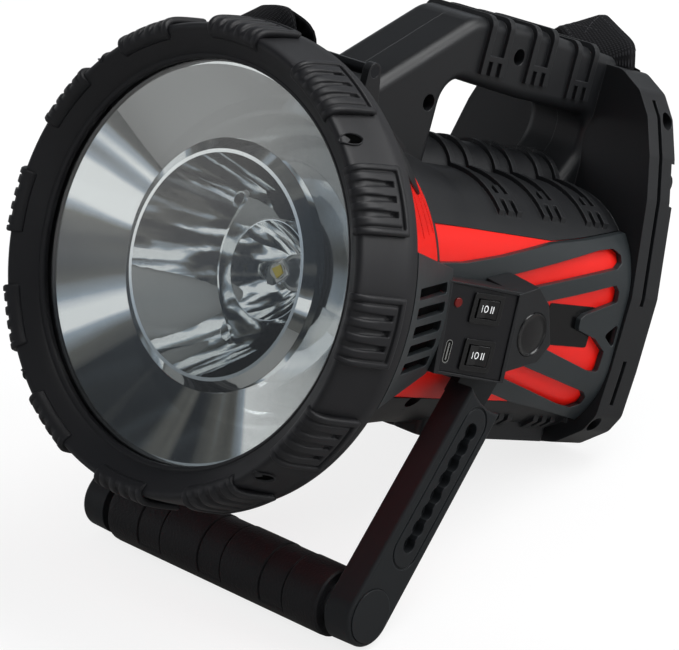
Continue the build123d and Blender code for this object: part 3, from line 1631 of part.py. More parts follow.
pieces = {
    "bezel_ring": bezel_ring,
    "lens": lens,
    "lens_seal": lens_seal,
    "outer_reflector": outer_reflector,
    "inner_reflector": inner_reflector,
    "spot_reflector": spot_reflector,
    "lamp_board": lamp_board,
    "lamp_emitter": lamp_emitter,
    "heat_sink": heat_sink,
    "head_housing": head_housing,
    "right_body_shell": right_body_shell,
    "left_body_shell": left_body_shell,
    "right_side_panel": right_side_panel,
    "left_side_panel": left_side_panel,
    "right_side_trim": right_side_trim,
    "left_side_trim": left_side_trim,
    "rear_cover": rear_cover,
    "cover_screws": cover_screws,
    "housing_screws": housing_screws,
    "strap_bars": strap_bars,
    "right_pod_housing": right_pod_housing,
    "left_pod_housing": left_pod_housing,
    "switch_panel": switch_panel,
    "switch_housings": switch_housings,
    "upper_rocker": upper_rocker,
    "lower_rocker": lower_rocker,
    "charge_indicator": charge_indicator,
    "charging_port": charging_port,
    "pivot_bolts": pivot_bolts,
    "pivot_nuts": pivot_nuts,
    "pivot_washers": pivot_washers,
    "pivot_caps": pivot_caps,
    "right_arm": right_arm,
    "left_arm": left_arm,
    "arm_end_caps": arm_end_caps,
    "cross_tube": cross_tube,
    "grip_sleeve": grip_sleeve,
    "battery_cells": battery_cells,
    "battery_cradle": battery_cradle,
    "control_board": control_board,
}
for piece in pieces.values():
    piece.part.locate(rest_tilt)
boxes = [piece.part.bounding_box() for piece in pieces.values()]
front_edge = min(box.min.Y for box in boxes)
rear_edge = max(box.max.Y for box in boxes)
rest_place = Location((0, -(front_edge + rear_edge) / 2, floor_drop)) * rest_tilt

for name, piece in pieces.items():
    piece.part.locate(rest_place)
    piece.part.label = name
    export_step(piece.part, f"parts/{name}.step")

# Shoulder strap, made where it lies at rest
runs = [Vector(*a) - Vector(*b) for a, b in zip(strap_route[1:], strap_route[:-1])]
bends = [
    0.45 * min(before.length, after.length) / tan(radians(before.get_angle(after) / 2))
    for before, after in zip(runs[:-1], runs[1:])
]
route_reach = [sum(run.length for run in runs[:number]) for number in range(len(strap_route))]
with BuildLine() as strap_line:
    FilletPolyline(*strap_route, radius=bends)
strap_path = strap_line.wires()[0]


def facing(share):
    """Direction across the webbing at a share of the strap's route."""
    reach = share * route_reach[-1]
    number = max(n for n, start in enumerate(route_reach[:-1]) if start <= reach)
    span = route_reach[number + 1] - route_reach[number]
    here, there = (Vector(*strap_facing_shares[n]) for n in (number, number + 1))
    return here + (there - here) * ((reach - route_reach[number]) / span)


def webbing_plane(spot, way, across):
    """Plane square to the strap's way, whose own x runs across the webbing."""
    level = across - way * across.dot(way)
    return Plane(origin=spot, x_dir=level, z_dir=way)


with BuildPart() as shoulder_strap:
    for step in range(strap_steps + 1):
        share = step / strap_steps
        plane = webbing_plane(strap_path @ share, strap_path % share, facing(share))
        with BuildSketch(plane):
            Rectangle(strap_width, strap_thickness)
    loft(ruled=True)

# Sewn ends of the webbing, doubled round the bars
bar_places = (
    (strap_front_shift, front_bar_depth, front_bar_height),
    (strap_rear_shift, rear_bar_depth, rear_bar_height),
)
front_bar, rear_bar = (rest_place * Location(place) for place in bar_places)
loop_inner_radius = strap_bar_radius + strap_loop_gap
loop_radius = loop_inner_radius + strap_thickness
strap_stations = (
    (strap_path @ 0, strap_path % 0, facing(0), strap_front_lead),
    (strap_path @ 1, -(strap_path % 1), -facing(1), strap_rear_lead),
)


def webbing_edge(spot, across):
    """The two edges of the webbing at a spot on its middle line."""
    half = across.normalized() * (strap_width / 2)
    return [spot - half, spot + half]


with BuildPart() as strap_ends:
    for bar, rise, station in zip(
        (front_bar, rear_bar), (strap_front_rise, strap_rear_rise), strap_stations
    ):
        spot, way, across, lead = station
        across = across - way * across.dot(way)
        root = bar.position + Vector(0, 0, strap_bar_radius + strap_thickness)
        web = Face.make_bezier_surface(
            [
                webbing_edge(root, Vector(1, 0, 0)),
                webbing_edge(root + Vector(0, 0, rise), Vector(1, 0, 0)),
                webbing_edge(spot - way * lead, across),
                webbing_edge(spot, across),
            ]
        )
        thicken(web, amount=strap_thickness, both=True)
        with BuildSketch(Plane.YZ.offset(bar.position.X - strap_width / 2)):
            with Locations((bar.position.Y, bar.position.Z)):
                Circle(loop_radius)
                Circle(loop_inner_radius, mode=Mode.SUBTRACT)
        extrude(amount=strap_width)

for name, piece in {"shoulder_strap": shoulder_strap, "strap_ends": strap_ends}.items():
    piece.part.label = name
    export_step(piece.part, f"parts/{name}.step")

strap_section = strap_width * strap_thickness
print(f"pitch {degrees(pitch):.4f} degrees, rest place {rest_place.position}")
print(f"grip touches at y {grip_forward:.2f}, rear edge at y {edge_forward:.2f}")
print("strap bend radii", [round(bend) for bend in bends])
strap_lowest = shoulder_strap.part.bounding_box().min.Z
print(f"strap length {strap_path.length:.1f}, lowest {strap_lowest:.2f}")
print(f"strap volume {shoulder_strap.part.volume:.0f}, section by length "
      f"{strap_section * strap_path.length:.0f}")
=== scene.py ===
# %% [markdown]
# # A handheld searchlight with a padded ring, a deep reflector and a swinging stand
# The measured solids come first, as a fixed frame that nothing here moves. Each step
# then gives a piece its real finish, or adds the small parts that the eye looks for:
# the woven strap, the tread pads, the switch marks and the lamp under its dome.

# %% Load the measured model
from math import copysign, cos, dist, hypot, pi, radians, sin, sqrt

import bmesh
import bpy
from mathutils import Matrix, Vector
from mathutils.bvhtree import BVHTree


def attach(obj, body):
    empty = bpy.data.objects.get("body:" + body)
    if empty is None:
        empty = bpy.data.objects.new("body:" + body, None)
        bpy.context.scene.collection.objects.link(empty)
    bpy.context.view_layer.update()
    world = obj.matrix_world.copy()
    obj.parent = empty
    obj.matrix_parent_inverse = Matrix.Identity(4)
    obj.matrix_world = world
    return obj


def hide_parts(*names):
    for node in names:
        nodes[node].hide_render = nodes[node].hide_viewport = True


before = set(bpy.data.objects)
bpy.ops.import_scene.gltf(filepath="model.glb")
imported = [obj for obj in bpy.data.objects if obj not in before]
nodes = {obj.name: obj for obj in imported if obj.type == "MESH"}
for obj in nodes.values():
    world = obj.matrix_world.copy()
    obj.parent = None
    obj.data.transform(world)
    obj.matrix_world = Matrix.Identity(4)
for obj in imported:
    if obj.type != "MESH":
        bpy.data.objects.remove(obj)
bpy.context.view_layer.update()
mm = 0.001


def put(name, data):
    """A new object in the scene, made of this data."""
    made = bpy.data.objects.new(name, data)
    bpy.context.scene.collection.objects.link(made)
    return made


# %% [markdown]
# The photograph was taken from in front, above and to the lamp's right, from about
# 1.3 m. The camera stands where lines through the lens circle, the grip and the ring
# pads meet, so every piece falls on its own place in the picture.

# %% Camera where the photographer stood
view_right = Vector((0.73, 0.68147, -0.05208))
view_back = Vector((0.6221, -0.63085, 0.46376))
view_up = view_back.cross(view_right).normalized()
view_right = view_up.cross(view_back).normalized()
camera_place = Vector((786.3, -818.346, 672.174)) * mm
photo_width, focal_pixels, sensor_width = 679, 3252, 36.0

camera_data = bpy.data.cameras.new("photo_camera")
camera_data.sensor_fit = "HORIZONTAL"
camera_data.sensor_width = sensor_width
camera_data.lens = focal_pixels / photo_width * sensor_width
camera_data.clip_start, camera_data.clip_end = 0.05, 20.0
camera = put("photo_camera", camera_data)
turn = Matrix((view_right, view_up, view_back.normalized())).transposed().to_4x4()
camera.matrix_world = Matrix.Translation(camera_place) @ turn
bpy.context.scene.camera = camera
print("lens", round(camera_data.lens, 1), "mm")

# %% [markdown]
# The lamp leans back on its grip, so its own axes are pitched against the ground.
# Places on the lamp are easier to give in those axes: x across, y back from the lens
# and z up towards the handle, in millimetres. One matrix takes them to the ground's.

# %% Lamp axes to ground axes
lamp_pitch, lens_middle = radians(25.9164), Vector((0, -0.097001, 0.1438735))
lamp_to_row = Matrix.Translation(lens_middle) @ Matrix.Rotation(-lamp_pitch, 4, "X")


def on_lamp(x, y, z):
    """A point given on the lamp in millimetres, in the ground's axes in metres."""
    return lamp_to_row @ Vector((x * mm, y * mm, z * mm))


def lamp_way(x, y, z):
    """A direction given on the lamp, in the ground's axes."""
    return (lamp_to_row.to_3x3() @ Vector((x, y, z))).normalized()


print("hinge at", [round(v, 4) for v in on_lamp(0, 118.5, 0)])

# %% [markdown]
# Materials are node trees. One small function adds a node, sets its sockets and links
# whatever feeds it, so a tree reads from top to bottom like a recipe. Where a whole
# node is the feed, its first live output is meant. Colours are written as the hex
# values a designer would use and turned to linear light once.

# %% Helpers for materials
def linear(colour):
    """Linear red, green, blue and alpha of an sRGB hex colour."""
    parts = [int(colour[i:i + 2], 16) / 255 for i in (1, 3, 5)]
    bend = [c / 12.92 if c <= 0.04045 else ((c + 0.055) / 1.055) ** 2.4 for c in parts]
    return (*bend, 1.0)


def add(tree, kind, feeds=(), **settings):
    """Adds a node to a tree, with its settings, socket values and links."""
    made = tree.nodes.new(kind)
    for name, value in settings.items():
        setattr(made, name, value)
    for name, value in dict(feeds).items():
        if isinstance(value, bpy.types.Node):
            value = next(socket for socket in value.outputs if socket.enabled)
        if isinstance(value, bpy.types.NodeSocket):
            tree.links.new(value, made.inputs[name])
        else:
            made.inputs[name].default_value = value
    return made


def new_material(name):
    """An empty node material with its output, and its tree."""
    material = bpy.data.materials.new(name)
    material.use_nodes = True
    material.node_tree.nodes.clear()
    return material, material.node_tree


def per_mm(size):
    """Texture scale at which one feature is so many millimetres wide."""
    return 1000.0 / size


# %% [markdown]
# Most of the lamp is moulded plastic. A mould gives it a fine even grain that breaks
# up reflections, a slow drift in gloss where the melt cooled, and corners that are
# never sharp. The Bevel node rounds the corners that light sees, and where its normal
# differs from the flat one the plastic is rubbed a little lighter by hands.

# %% Moulded plastic
def moulded(name, colour, worn, rough, grain_mm, grain_depth_mm, corner_mm=0.5, gloss=0.35):
    """Moulded plastic or rubber with its grain, gloss drift and softened corners."""
    material, tree = new_material(name)
    place = add(tree, "ShaderNodeTexCoord")
    grain = add(tree, "ShaderNodeTexNoise", {
        "Vector": place.outputs["Object"], "Scale": per_mm(grain_mm),
        "Detail": 2.0, "Roughness": 0.55,
    })
    drift = add(tree, "ShaderNodeTexNoise", {
        "Vector": place.outputs["Object"], "Scale": per_mm(28.0), "Detail": 3.0,
    })
    edge = add(tree, "ShaderNodeBevel", {"Radius": corner_mm * mm}, samples=6)
    flat = add(tree, "ShaderNodeNewGeometry")
    close = add(tree, "ShaderNodeVectorMath", {
        0: edge, 1: flat.outputs["Normal"],
    }, operation="DOT_PRODUCT")
    rub = add(tree, "ShaderNodeMapRange", {
        "Value": close, "From Min": 0.97, "From Max": 0.75, "To Min": 0.0, "To Max": 0.55,
    })
    tone = add(tree, "ShaderNodeMix", {
        "Factor": rub, "A": linear(colour), "B": linear(worn),
    }, data_type="RGBA")
    shine = add(tree, "ShaderNodeMapRange", {
        "Value": drift, "From Min": 0.3, "From Max": 0.7,
        "To Min": rough - 0.05, "To Max": rough + 0.06,
    })
    bump = add(tree, "ShaderNodeBump", {
        "Height": grain, "Normal": edge, "Strength": 1.0, "Distance": grain_depth_mm * mm,
    })
    skin = add(tree, "ShaderNodeBsdfPrincipled", {
        "Base Color": tone, "Roughness": shine, "Normal": bump, "IOR": 1.5,
        "Specular IOR Level": gloss,
    })
    add(tree, "ShaderNodeOutputMaterial", {"Surface": skin})
    return material


housing_abs = moulded("grained_black_abs", "#17181a", "#36383b", 0.42, 0.55, 0.04)
trim_abs = moulded("satin_charcoal_abs", "#24282a", "#4a5053", 0.36, 0.4, 0.012)
panel_red = moulded("satin_red_abs", "#d8160c", "#ea3a2c", 0.33, 0.5, 0.008, 0.5, 0.25)
ring_rubber = moulded("matte_black_rubber", "#151518", "#2d2e31", 0.5, 0.5, 0.03, 0.7)
grip_rubber = moulded("leathered_grip_rubber", "#151517", "#2d2e31", 0.5, 0.9, 0.25, 0.4, 0.2)
arm_nylon = moulded("black_glass_nylon", "#191b1d", "#3d4044", 0.45, 0.5, 0.02, 0.5, 0.2)
switch_face = moulded("polished_black_abs", "#0b0b0c", "#232426", 0.16, 0.6, 0.002, 0.3, 0.5)
panel_face = moulded("smooth_black_panel", "#101013", "#2a2b2e", 0.34, 0.5, 0.006, 0.3)
cradle_black = moulded("battery_cradle_black", "#1c1c1e", "#303134", 0.5, 0.5, 0.02)
print("with plastics", len(bpy.data.materials))

# %% [markdown]
# Metals carry no colour of their own beyond a slight tint, and what the eye reads is
# how their surface was made. The reflectors are plastic with a film of aluminium
# laid on in a vacuum, a true mirror with a faint ripple from the mould under it.

# %% Mirror film, steel and aluminium
def metal(name, colour, rough, ripple_mm, ripple_depth_mm, stretch=(1, 1, 1)):
    """A metal with a fine ripple or brushed lines."""
    material, tree = new_material(name)
    place = add(tree, "ShaderNodeTexCoord")
    lay = add(tree, "ShaderNodeMapping", {"Vector": place.outputs["Object"], "Scale": stretch})
    ripple = add(tree, "ShaderNodeTexNoise", {
        "Vector": lay, "Scale": per_mm(ripple_mm), "Detail": 2.0,
    })
    bump = add(tree, "ShaderNodeBump", {
        "Height": ripple, "Strength": 1.0, "Distance": ripple_depth_mm * mm,
    })
    haze = add(tree, "ShaderNodeMapRange", {
        "Value": ripple, "From Min": 0.3, "From Max": 0.7,
        "To Min": rough * 0.9, "To Max": rough * 1.15,
    })
    skin = add(tree, "ShaderNodeBsdfPrincipled", {
        "Base Color": linear(colour), "Metallic": 1.0, "Roughness": haze, "Normal": bump,
    })
    add(tree, "ShaderNodeOutputMaterial", {"Surface": skin})
    return material


mirror_film = metal("vacuum_aluminium_mirror", "#e3e5e5", 0.012, 40.0, 0.01)
black_steel = metal("blackened_screw_steel", "#3a3b3e", 0.32, 0.4, 0.004)
drawn_steel = metal("drawn_steel_tube", "#a9abad", 0.3, 0.6, 0.004, (0.05, 1, 1))
sink_alloy = metal("extruded_aluminium", "#c3c5c8", 0.34, 0.5, 0.006, (1, 0.05, 1))
port_nickel = metal("nickel_plated_shell", "#b9bab8", 0.25, 0.5, 0.003)
print("with metals", len(bpy.data.materials))

# %% [markdown]
# The lens is clear acrylic with a trace of grey. It is a real disc with two faces, so
# it needs a transmitting shader and no tricks. The lamp's dome is clear silicone.

# %% Lens acrylic and the colours inside
def clear(name, colour, ior):
    """A clear plastic with a polished face."""
    material, tree = new_material(name)
    skin = add(tree, "ShaderNodeBsdfPrincipled", {
        "Base Color": linear(colour), "Roughness": 0.0, "IOR": ior, "Transmission Weight": 1.0,
    })
    add(tree, "ShaderNodeOutputMaterial", {"Surface": skin})
    return material


lens_acrylic = clear("clear_lens_acrylic", "#f3f5f5", 1.49)
dome_silicone = clear("clear_dome_silicone", "#fffdf2", 1.41)
board_white = moulded("white_solder_mask", "#e4e6e4", "#f4f4f2", 0.3, 0.6, 0.004, 0.2)
phosphor = moulded("yellow_phosphor", "#e8d24a", "#efe07a", 0.6, 0.3, 0.01, 0.1)
indicator_red = moulded("clear_red_indicator", "#5c100d", "#a8322a", 0.12, 0.6, 0.002, 0.2)
cell_wrap = moulded("shrink_wrapped_cells", "#2f63b5", "#5a86cc", 0.25, 0.8, 0.01, 0.3)
board_green = moulded("green_circuit_board", "#1f5c36", "#3c7a52", 0.35, 0.6, 0.01, 0.2)
mark_white = moulded("white_pad_print", "#eceded", "#ffffff", 0.5, 0.4, 0.003, 0.1)
label_film = moulded("printed_label_film", "#060607", "#2a2a2d", 0.2, 1.2, 0.002, 0.15)
# Near-black painted shade for the floor of each eyelet, standing in for the shadow in its
# hollow
pit_painted_shade = moulded("rubber_hollow_painted_shade", "#030303", "#060606", 0.9, 0.5, 0.02, 0.3, 0.02)
print("with lens and inside", len(bpy.data.materials))

# %% [markdown]
# The strap is woven polypropylene webbing. Its weave follows the webbing, not the
# room, so its pattern reads the piece's own map: u runs across in metres and v along.
# Ribs every 1.3 mm and floats every 1.6 mm are about as fine as the picture can show.

# %% Webbing
band_share = 2 * pi / 20  # a Wave texture repeats every 2 pi over 20 of its scale
rib_mm, float_mm, weave_depth_mm = 1.3, 1.6, 0.35


def webbing(name, colour, lit):
    """Black webbing whose ribs and floats follow its own map, their raised tops painted
    lighter.
    """
    material, tree = new_material(name)
    chart = add(tree, "ShaderNodeUVMap", uv_map="weave")
    rib = add(tree, "ShaderNodeTexWave", {
        "Vector": chart, "Scale": per_mm(rib_mm) * band_share,
        "Distortion": 0.6, "Detail": 1.0,
    }, bands_direction="X")
    pick = add(tree, "ShaderNodeTexWave", {
        "Vector": chart, "Scale": per_mm(float_mm) * band_share,
        "Distortion": 0.8, "Detail": 1.0,
    }, bands_direction="Y")
    both = add(tree, "ShaderNodeMath", {
        0: rib.outputs["Fac"], 1: pick.outputs["Fac"],
    }, operation="MULTIPLY")
    # The lighter lit colour goes where the weave is raised: a painted highlight on the ribs
    # and floats, with painted shade between them
    tone = add(tree, "ShaderNodeMix", {
        "Factor": both, "A": linear(colour), "B": linear(lit),
    }, data_type="RGBA")
    bump = add(tree, "ShaderNodeBump", {
        "Height": both, "Strength": 1.0, "Distance": weave_depth_mm * mm,
    })
    skin = add(tree, "ShaderNodeBsdfPrincipled", {
        "Base Color": tone, "Roughness": 0.75, "Normal": bump, "Specular IOR Level": 0.12,
    })
    add(tree, "ShaderNodeOutputMaterial", {"Surface": skin})
    return material


strap_webbing = webbing("woven_black_webbing", "#0c0c0e", "#222225")
stitch_thread = moulded("black_sewing_thread", "#2b2b2e", "#47484b", 0.7, 0.3, 0.02, 0.1)
print("materials in all", len(bpy.data.materials))

# %% [markdown]
# The strap's route is a smooth curve near the points that the solid follows, in
# millimetres on the ground. Its front end lies 9 mm and its rear end 4 mm off theirs,
# where the photograph has them. A NURBS of order three runs near them and never kinks.
# Each point also says which way the webbing faces there, and the ribbon is then swept
# along the line that Blender reads from the curve.

# %% Strap route
strap_width, strap_thick = 25.0 * mm, 1.6 * mm
strap_route = (
    (-38.5, -19.0, 203.5), (-53.0, -14.0, 187.5), (-72.0, -8.0, 168.0), (-87.0, -1.0, 132.0),
    (-99.0, 7.0, 95.0), (-112.0, 16.0, 60.0), (-131.0, 27.0, 29.0), (-158.0, 41.0, 9.0),
    (-184.0, 66.0, 1.4), (-197.0, 100.0, 1.4), (-191.0, 137.0, 1.4), (-166.0, 166.0, 5.0),
    (-132.0, 180.0, 18.0), (-98.0, 180.0, 39.0), (-70.0, 174.0, 66.0), (-48.0, 166.0, 94.0),
    (-35.0, 162.0, 121.0), (-23.0, 156.0, 146.0),
)
strap_facing = (
    (0.35, 0.85, 0.3), (0.1, 0.95, 0.25), (0, 1, 0.1), (0, 1, 0), (0.05, 1, 0), (0.15, 1, 0),
    (0.3, 0.95, 0), (0.5, 0.86, 0), (0.8, 0.6, 0), (0.97, 0.12, 0), (0.92, -0.4, 0),
    (0.6, -0.8, 0), (0.2, -0.98, 0), (0, -1, 0), (-0.1, -1, 0), (-0.2, -0.98, 0),
    (-0.3, -0.95, -0.05), (-0.3, -0.95, 0),
)


def route_line(points, steps):
    """Points read from a smooth curve with these control points, in metres."""
    data = bpy.data.curves.new("route", "CURVE")
    data.dimensions = "3D"
    spline = data.splines.new("NURBS")
    spline.points.add(len(points) - 1)
    for spot, made in zip(points, spline.points):
        made.co = (*(v * mm for v in spot), 1.0)
    spline.order_u = 3
    spline.use_endpoint_u = True
    spline.resolution_u = steps
    holder = bpy.data.objects.new("route", data)
    mesh = bpy.data.meshes.new_from_object(holder)
    line = [v.co.copy() for v in mesh.vertices]
    bpy.data.objects.remove(holder)
    bpy.data.curves.remove(data)
    bpy.data.meshes.remove(mesh)
    return line


def reaches(line):
    """Distance along a line at each of its points."""
    total = [0.0]
    for before, after in zip(line[:-1], line[1:]):
        total.append(total[-1] + (after - before).length)
    return total


strap_line = route_line(strap_route, 12)
strap_reach = reaches(strap_line)
print("strap length", round(strap_reach[-1], 4), "m in", len(strap_line), "points")

# %% [markdown]
# Most shapes are drawn as rings or grids of points. One helper lays faces between
# rings, one closes two grids to a sheet, and one points all faces outward.

# %% Helpers for shapes
def span(mesh, rings, loop=True, tube=True):
    """Lays faces between rings of points, and on both end rings where it is no loop."""
    count, faces = len(rings[0]), []
    for here, there in zip(rings, rings[1:] + (rings[:1] if loop else [])):
        for side in range(count if tube else count - 1):
            after = (side + 1) % count
            faces.append(mesh.faces.new((here[side], here[after], there[after], there[side])))
    if not loop:
        mesh.faces.new(rings[0])
        mesh.faces.new(rings[-1][::-1])
    return faces


def slab(mesh, top, foot):
    """Closes two grids of points, one over the other, to a sheet."""
    high, wide = len(top) - 1, len(top[0]) - 1
    for i in range(high):
        for j in range(wide):
            mesh.faces.new((top[i][j], top[i][j + 1], top[i + 1][j + 1], top[i + 1][j]))
            mesh.faces.new((foot[i][j], foot[i + 1][j], foot[i + 1][j + 1], foot[i][j + 1]))
    rim = [(i, 0) for i in range(high)] + [(high, j) for j in range(wide)]
    rim += [(i, wide) for i in range(high, 0, -1)] + [(0, j) for j in range(wide, 0, -1)]
    for (i, j), (k, m) in zip(rim, rim[1:] + rim[:1]):
        mesh.faces.new((top[i][j], top[k][m], foot[k][m], foot[i][j]))


def drawn(mesh, name):
    """Mesh data from drawn faces, all turned outward."""
    bmesh.ops.recalc_face_normals(mesh, faces=mesh.faces)
    data = bpy.data.meshes.new(name)
    mesh.to_mesh(data)
    mesh.free()
    return data


# %% [markdown]
# Webbing has a flat rounded section with a slightly thicker edge on both sides. The
# sweep keeps that section square to the line and turns it to face as it should.

# %% Ribbon sweep
section_steps, edge_share, edge_swell = 9, 0.14, 0.25


def ribbon_section():
    """Outline of the webbing: share across, share of half thickness."""
    top = []
    for step in range(section_steps + 1):
        across = 2 * step / section_steps - 1
        edge = max(0.0, (abs(across) - 1 + edge_share) / edge_share)
        top.append((across, (1.0 + edge_swell * edge) * sqrt(max(0.0, 1 - edge ** 4))))
    return top + [(-u, -v) for u, v in top[1:-1]]


def ribbon(name, line, facing, widths, offsets=None):
    """A ribbon of webbing along a line, facing as given at each point."""
    reach, section = reaches(line), ribbon_section()
    mesh = bmesh.new()
    chart = mesh.loops.layers.uv.new("weave")
    rings = []
    for number, spot in enumerate(line):
        way = (line[min(number + 1, len(line) - 1)] - line[max(number - 1, 0)]).normalized()
        across = (facing[number] - way * facing[number].dot(way)).normalized()
        normal = way.cross(across)
        spot = spot + normal * (offsets[number] if offsets else 0.0)
        half = strap_width / 2 * widths[number]
        rings.append([
            mesh.verts.new(spot + across * u * half + normal * v * strap_thick / 2)
            for u, v in section
        ])
    for place, face in enumerate(span(mesh, rings, loop=False)):
        number, side = divmod(place, len(section))
        face.smooth = True
        corners = ((side, 0), (side + 1, 0), (side + 1, 1), (side, 1))
        for corner, (u_step, v_step) in zip(face.loops, corners):
            share = section[u_step % len(section)][0]
            corner[chart].uv = (share * strap_width / 2, reach[number + v_step])
    data = drawn(mesh, name)
    data.materials.append(strap_webbing)
    return put(name, data)


def facing_along(line, points, ways):
    """The webbing's way across at each point of a line, blended by reach."""
    spots = [Vector(p) * mm for p in points]
    marks = reaches(spots)
    total = reaches(line)
    blend = []
    for reach in total:
        share = reach / total[-1] * marks[-1]
        number = max(n for n in range(len(marks) - 1) if marks[n] <= share + 1e-9)
        part = (share - marks[number]) / (marks[number + 1] - marks[number])
        blend.append(Vector(ways[number]).lerp(Vector(ways[number + 1]), part).normalized())
    return blend


def ease(share):
    """A smooth step from 0 to 1."""
    share = min(max(share, 0.0), 1.0)
    return share * share * (3 - 2 * share)


lap_fade, front_pinch = 14 * mm, 0.55
pinch_until, pinch_fade = 8 * mm, 45 * mm
strap_offsets = [
    -strap_thick / 2 * (1 - ease(min(r, strap_reach[-1] - r) / lap_fade)) for r in strap_reach
]
strap_widths = [
    front_pinch + (1 - front_pinch) * ease((r - pinch_until) / pinch_fade) for r in strap_reach
]
shoulder_strap = ribbon(
    "shoulder_strap_webbing", strap_line, facing_along(strap_line, strap_route, strap_facing),
    strap_widths, strap_offsets,
)
print("strap faces", len(shoulder_strap.data.polygons))

# %% [markdown]
# At each end the webbing passes round a steel bar, comes back over itself and is sewn.
# The doubled tongue leaves the bar upward and then turns to meet the strap, so its
# middle line is a Bezier with four rows, as the solid's is. The front one is narrower.

# %% Sewn ends round the bars
bar_radius, loop_gap, loop_neck = 2.3 * mm, 0.3 * mm, 7 * mm
bar_way, up = Vector((1, 0, 0)), Vector((0, 0, 1))
front_bar = on_lamp(0, 46.5, 83.0) - bar_way * 15.5 * mm
rear_bar = on_lamp(0, 214.5, 97.0) + bar_way * 8 * mm


def tongue_rows(bar, rise, route_end, across, lead):
    """Middle and way across of the four rows that the doubled webbing follows."""
    root, (spot, after) = bar + up * (bar_radius + strap_thick), route_end
    way = (Vector(after) - Vector(spot)).normalized()
    spot = Vector(spot) * mm
    return [
        (root, bar_way), (root + up * rise * mm, bar_way),
        (spot - way * lead * mm, across), (spot, across),
    ]


def tongue(rows, share):
    """Middle, way across and normal of the tongue at a share of its length."""
    rest = 1 - share
    weights = (rest ** 3, 3 * rest ** 2 * share, 3 * rest * share ** 2, share ** 3)
    slopes = (-3 * rest ** 2, 3 * rest ** 2 - 6 * rest * share,
              6 * rest * share - 3 * share ** 2, 3 * share ** 2)
    spot = sum((row[0] * w for row, w in zip(rows, weights)), Vector())
    across = sum((row[1] * w for row, w in zip(rows, weights)), Vector()).normalized()
    way = sum((row[0] * s for row, s in zip(rows, slopes)), Vector()).normalized()
    across = (across - way * across.dot(way)).normalized()
    return spot, across, way.cross(across)


def sewn_end(name, bar, rows, pinch):
    """Webbing that comes down one side of the tongue, round the bar and back up."""
    loop_middle = bar_radius + loop_gap + strap_thick / 2
    legs = {-1: [], 1: []}
    for side, leg in legs.items():
        for number in range(25):
            spot, across, normal = tongue(rows, number / 24)
            height = (spot - bar).z - bar_radius - strap_thick
            spread = loop_middle + (strap_thick / 2 - loop_middle) * ease(height / loop_neck)
            leg.append((spot + normal * side * spread, across))
    normal = tongue(rows, 0.0)[2]
    turn = []
    for step in range(1, 16):
        angle = pi * step / 16
        turn.append((bar - (normal * cos(angle) + up * sin(angle)) * loop_middle, bar_way))
    line, facing = zip(*legs[-1][::-1], *turn, *legs[1])
    return ribbon(name, line, facing, [pinch] * len(line))


front_rows = tongue_rows(front_bar, 2.0, strap_route[:2], Vector(strap_facing[0]), 10.0)
rear_rows = tongue_rows(rear_bar, 1.0, strap_route[:-3:-1], -Vector(strap_facing[-1]), 6.0)
front_tongue = sewn_end("front_strap_end", front_bar, front_rows, front_pinch)
rear_tongue = sewn_end("rear_strap_end", rear_bar, rear_rows, 1.0)
print("sewn end faces", len(front_tongue.data.polygons), len(rear_tongue.data.polygons))

# %% [markdown]
# Stitches, tread pads, eyelets and other small things that repeat are placed by Geometry
# Nodes. A seam is a bare line of edges. The tree walks along it at a fixed spacing and
# lays one small grain-shaped stitch at each step, turned along the seam.

# %% Tree that lays things along a seam
def new_group(name, inputs):
    """An empty Geometry Nodes group with named inputs, and the node that gives them."""
    tree = bpy.data.node_groups.new(name, "GeometryNodeTree")
    tree.interface.new_socket("Geometry", in_out="OUTPUT", socket_type="NodeSocketGeometry")
    for label, kind in {"Geometry": "Geometry", **inputs}.items():
        tree.interface.new_socket(label, in_out="INPUT", socket_type="NodeSocket" + kind)
    return tree, add(tree, "NodeGroupInput")


def lay_copies(tree, finish, feeds):
    """Lays copies on points, makes them real and gives them their finish."""
    laid = add(tree, "GeometryNodeInstanceOnPoints", feeds)
    real = add(tree, "GeometryNodeRealizeInstances", {"Geometry": laid})
    dyed = add(tree, "GeometryNodeSetMaterial", {"Geometry": real, "Material": finish})
    add(tree, "NodeGroupOutput", {"Geometry": dyed})
    return tree


def stitch_tree():
    """Geometry Nodes that sew a seam: one stitch every spacing."""
    tree, given = new_group("sew_along_seam", {
        "Spacing": "Float", "Length": "Float", "Thickness": "Float", "Thread": "Material",
    })
    seam = add(tree, "GeometryNodeMeshToCurve", {"Mesh": given.outputs["Geometry"]})
    steps = add(tree, "GeometryNodeResampleCurve", {
        "Curve": seam, "Length": given.outputs["Spacing"],
    }, mode="LENGTH")
    grain = add(tree, "GeometryNodeMeshUVSphere", {"Segments": 8, "Rings": 6, "Radius": 0.5})
    stretch = add(tree, "ShaderNodeCombineXYZ", {
        "X": given.outputs["Thickness"], "Y": given.outputs["Thickness"],
        "Z": given.outputs["Length"],
    })
    along = add(tree, "GeometryNodeInputTangent")
    turned = add(tree, "FunctionNodeAlignRotationToVector", {"Vector": along}, axis="Z")
    return lay_copies(tree, given.outputs["Thread"], {
        "Points": steps, "Instance": grain, "Rotation": turned, "Scale": stretch,
    })


def grow(name, base, tree, values):
    """Runs a tree on a mesh and keeps the result as a plain piece."""
    holder = put(name + "_base", base)
    modifier = holder.modifiers.new("grow", "NODES")
    modifier.node_group = tree
    for item in tree.interface.items_tree:
        if item.in_out == "INPUT" and item.name in values:
            modifier[item.identifier] = values[item.name]
    bpy.context.view_layer.update()
    made = holder.evaluated_get(bpy.context.evaluated_depsgraph_get())
    mesh = bpy.data.meshes.new_from_object(made)
    mesh.name = name
    bpy.data.objects.remove(holder)
    for face in mesh.polygons:
        face.use_smooth = True
    return put(name, mesh)


def seam_mesh(name, lines):
    """A mesh of bare edges from lists of points."""
    mesh = bpy.data.meshes.new(name)
    spots, edges = [], []
    for line in lines:
        edges += [(len(spots) + n, len(spots) + n + 1) for n in range(len(line) - 1)]
        spots += line
    mesh.from_pydata(spots, edges, [])
    return mesh


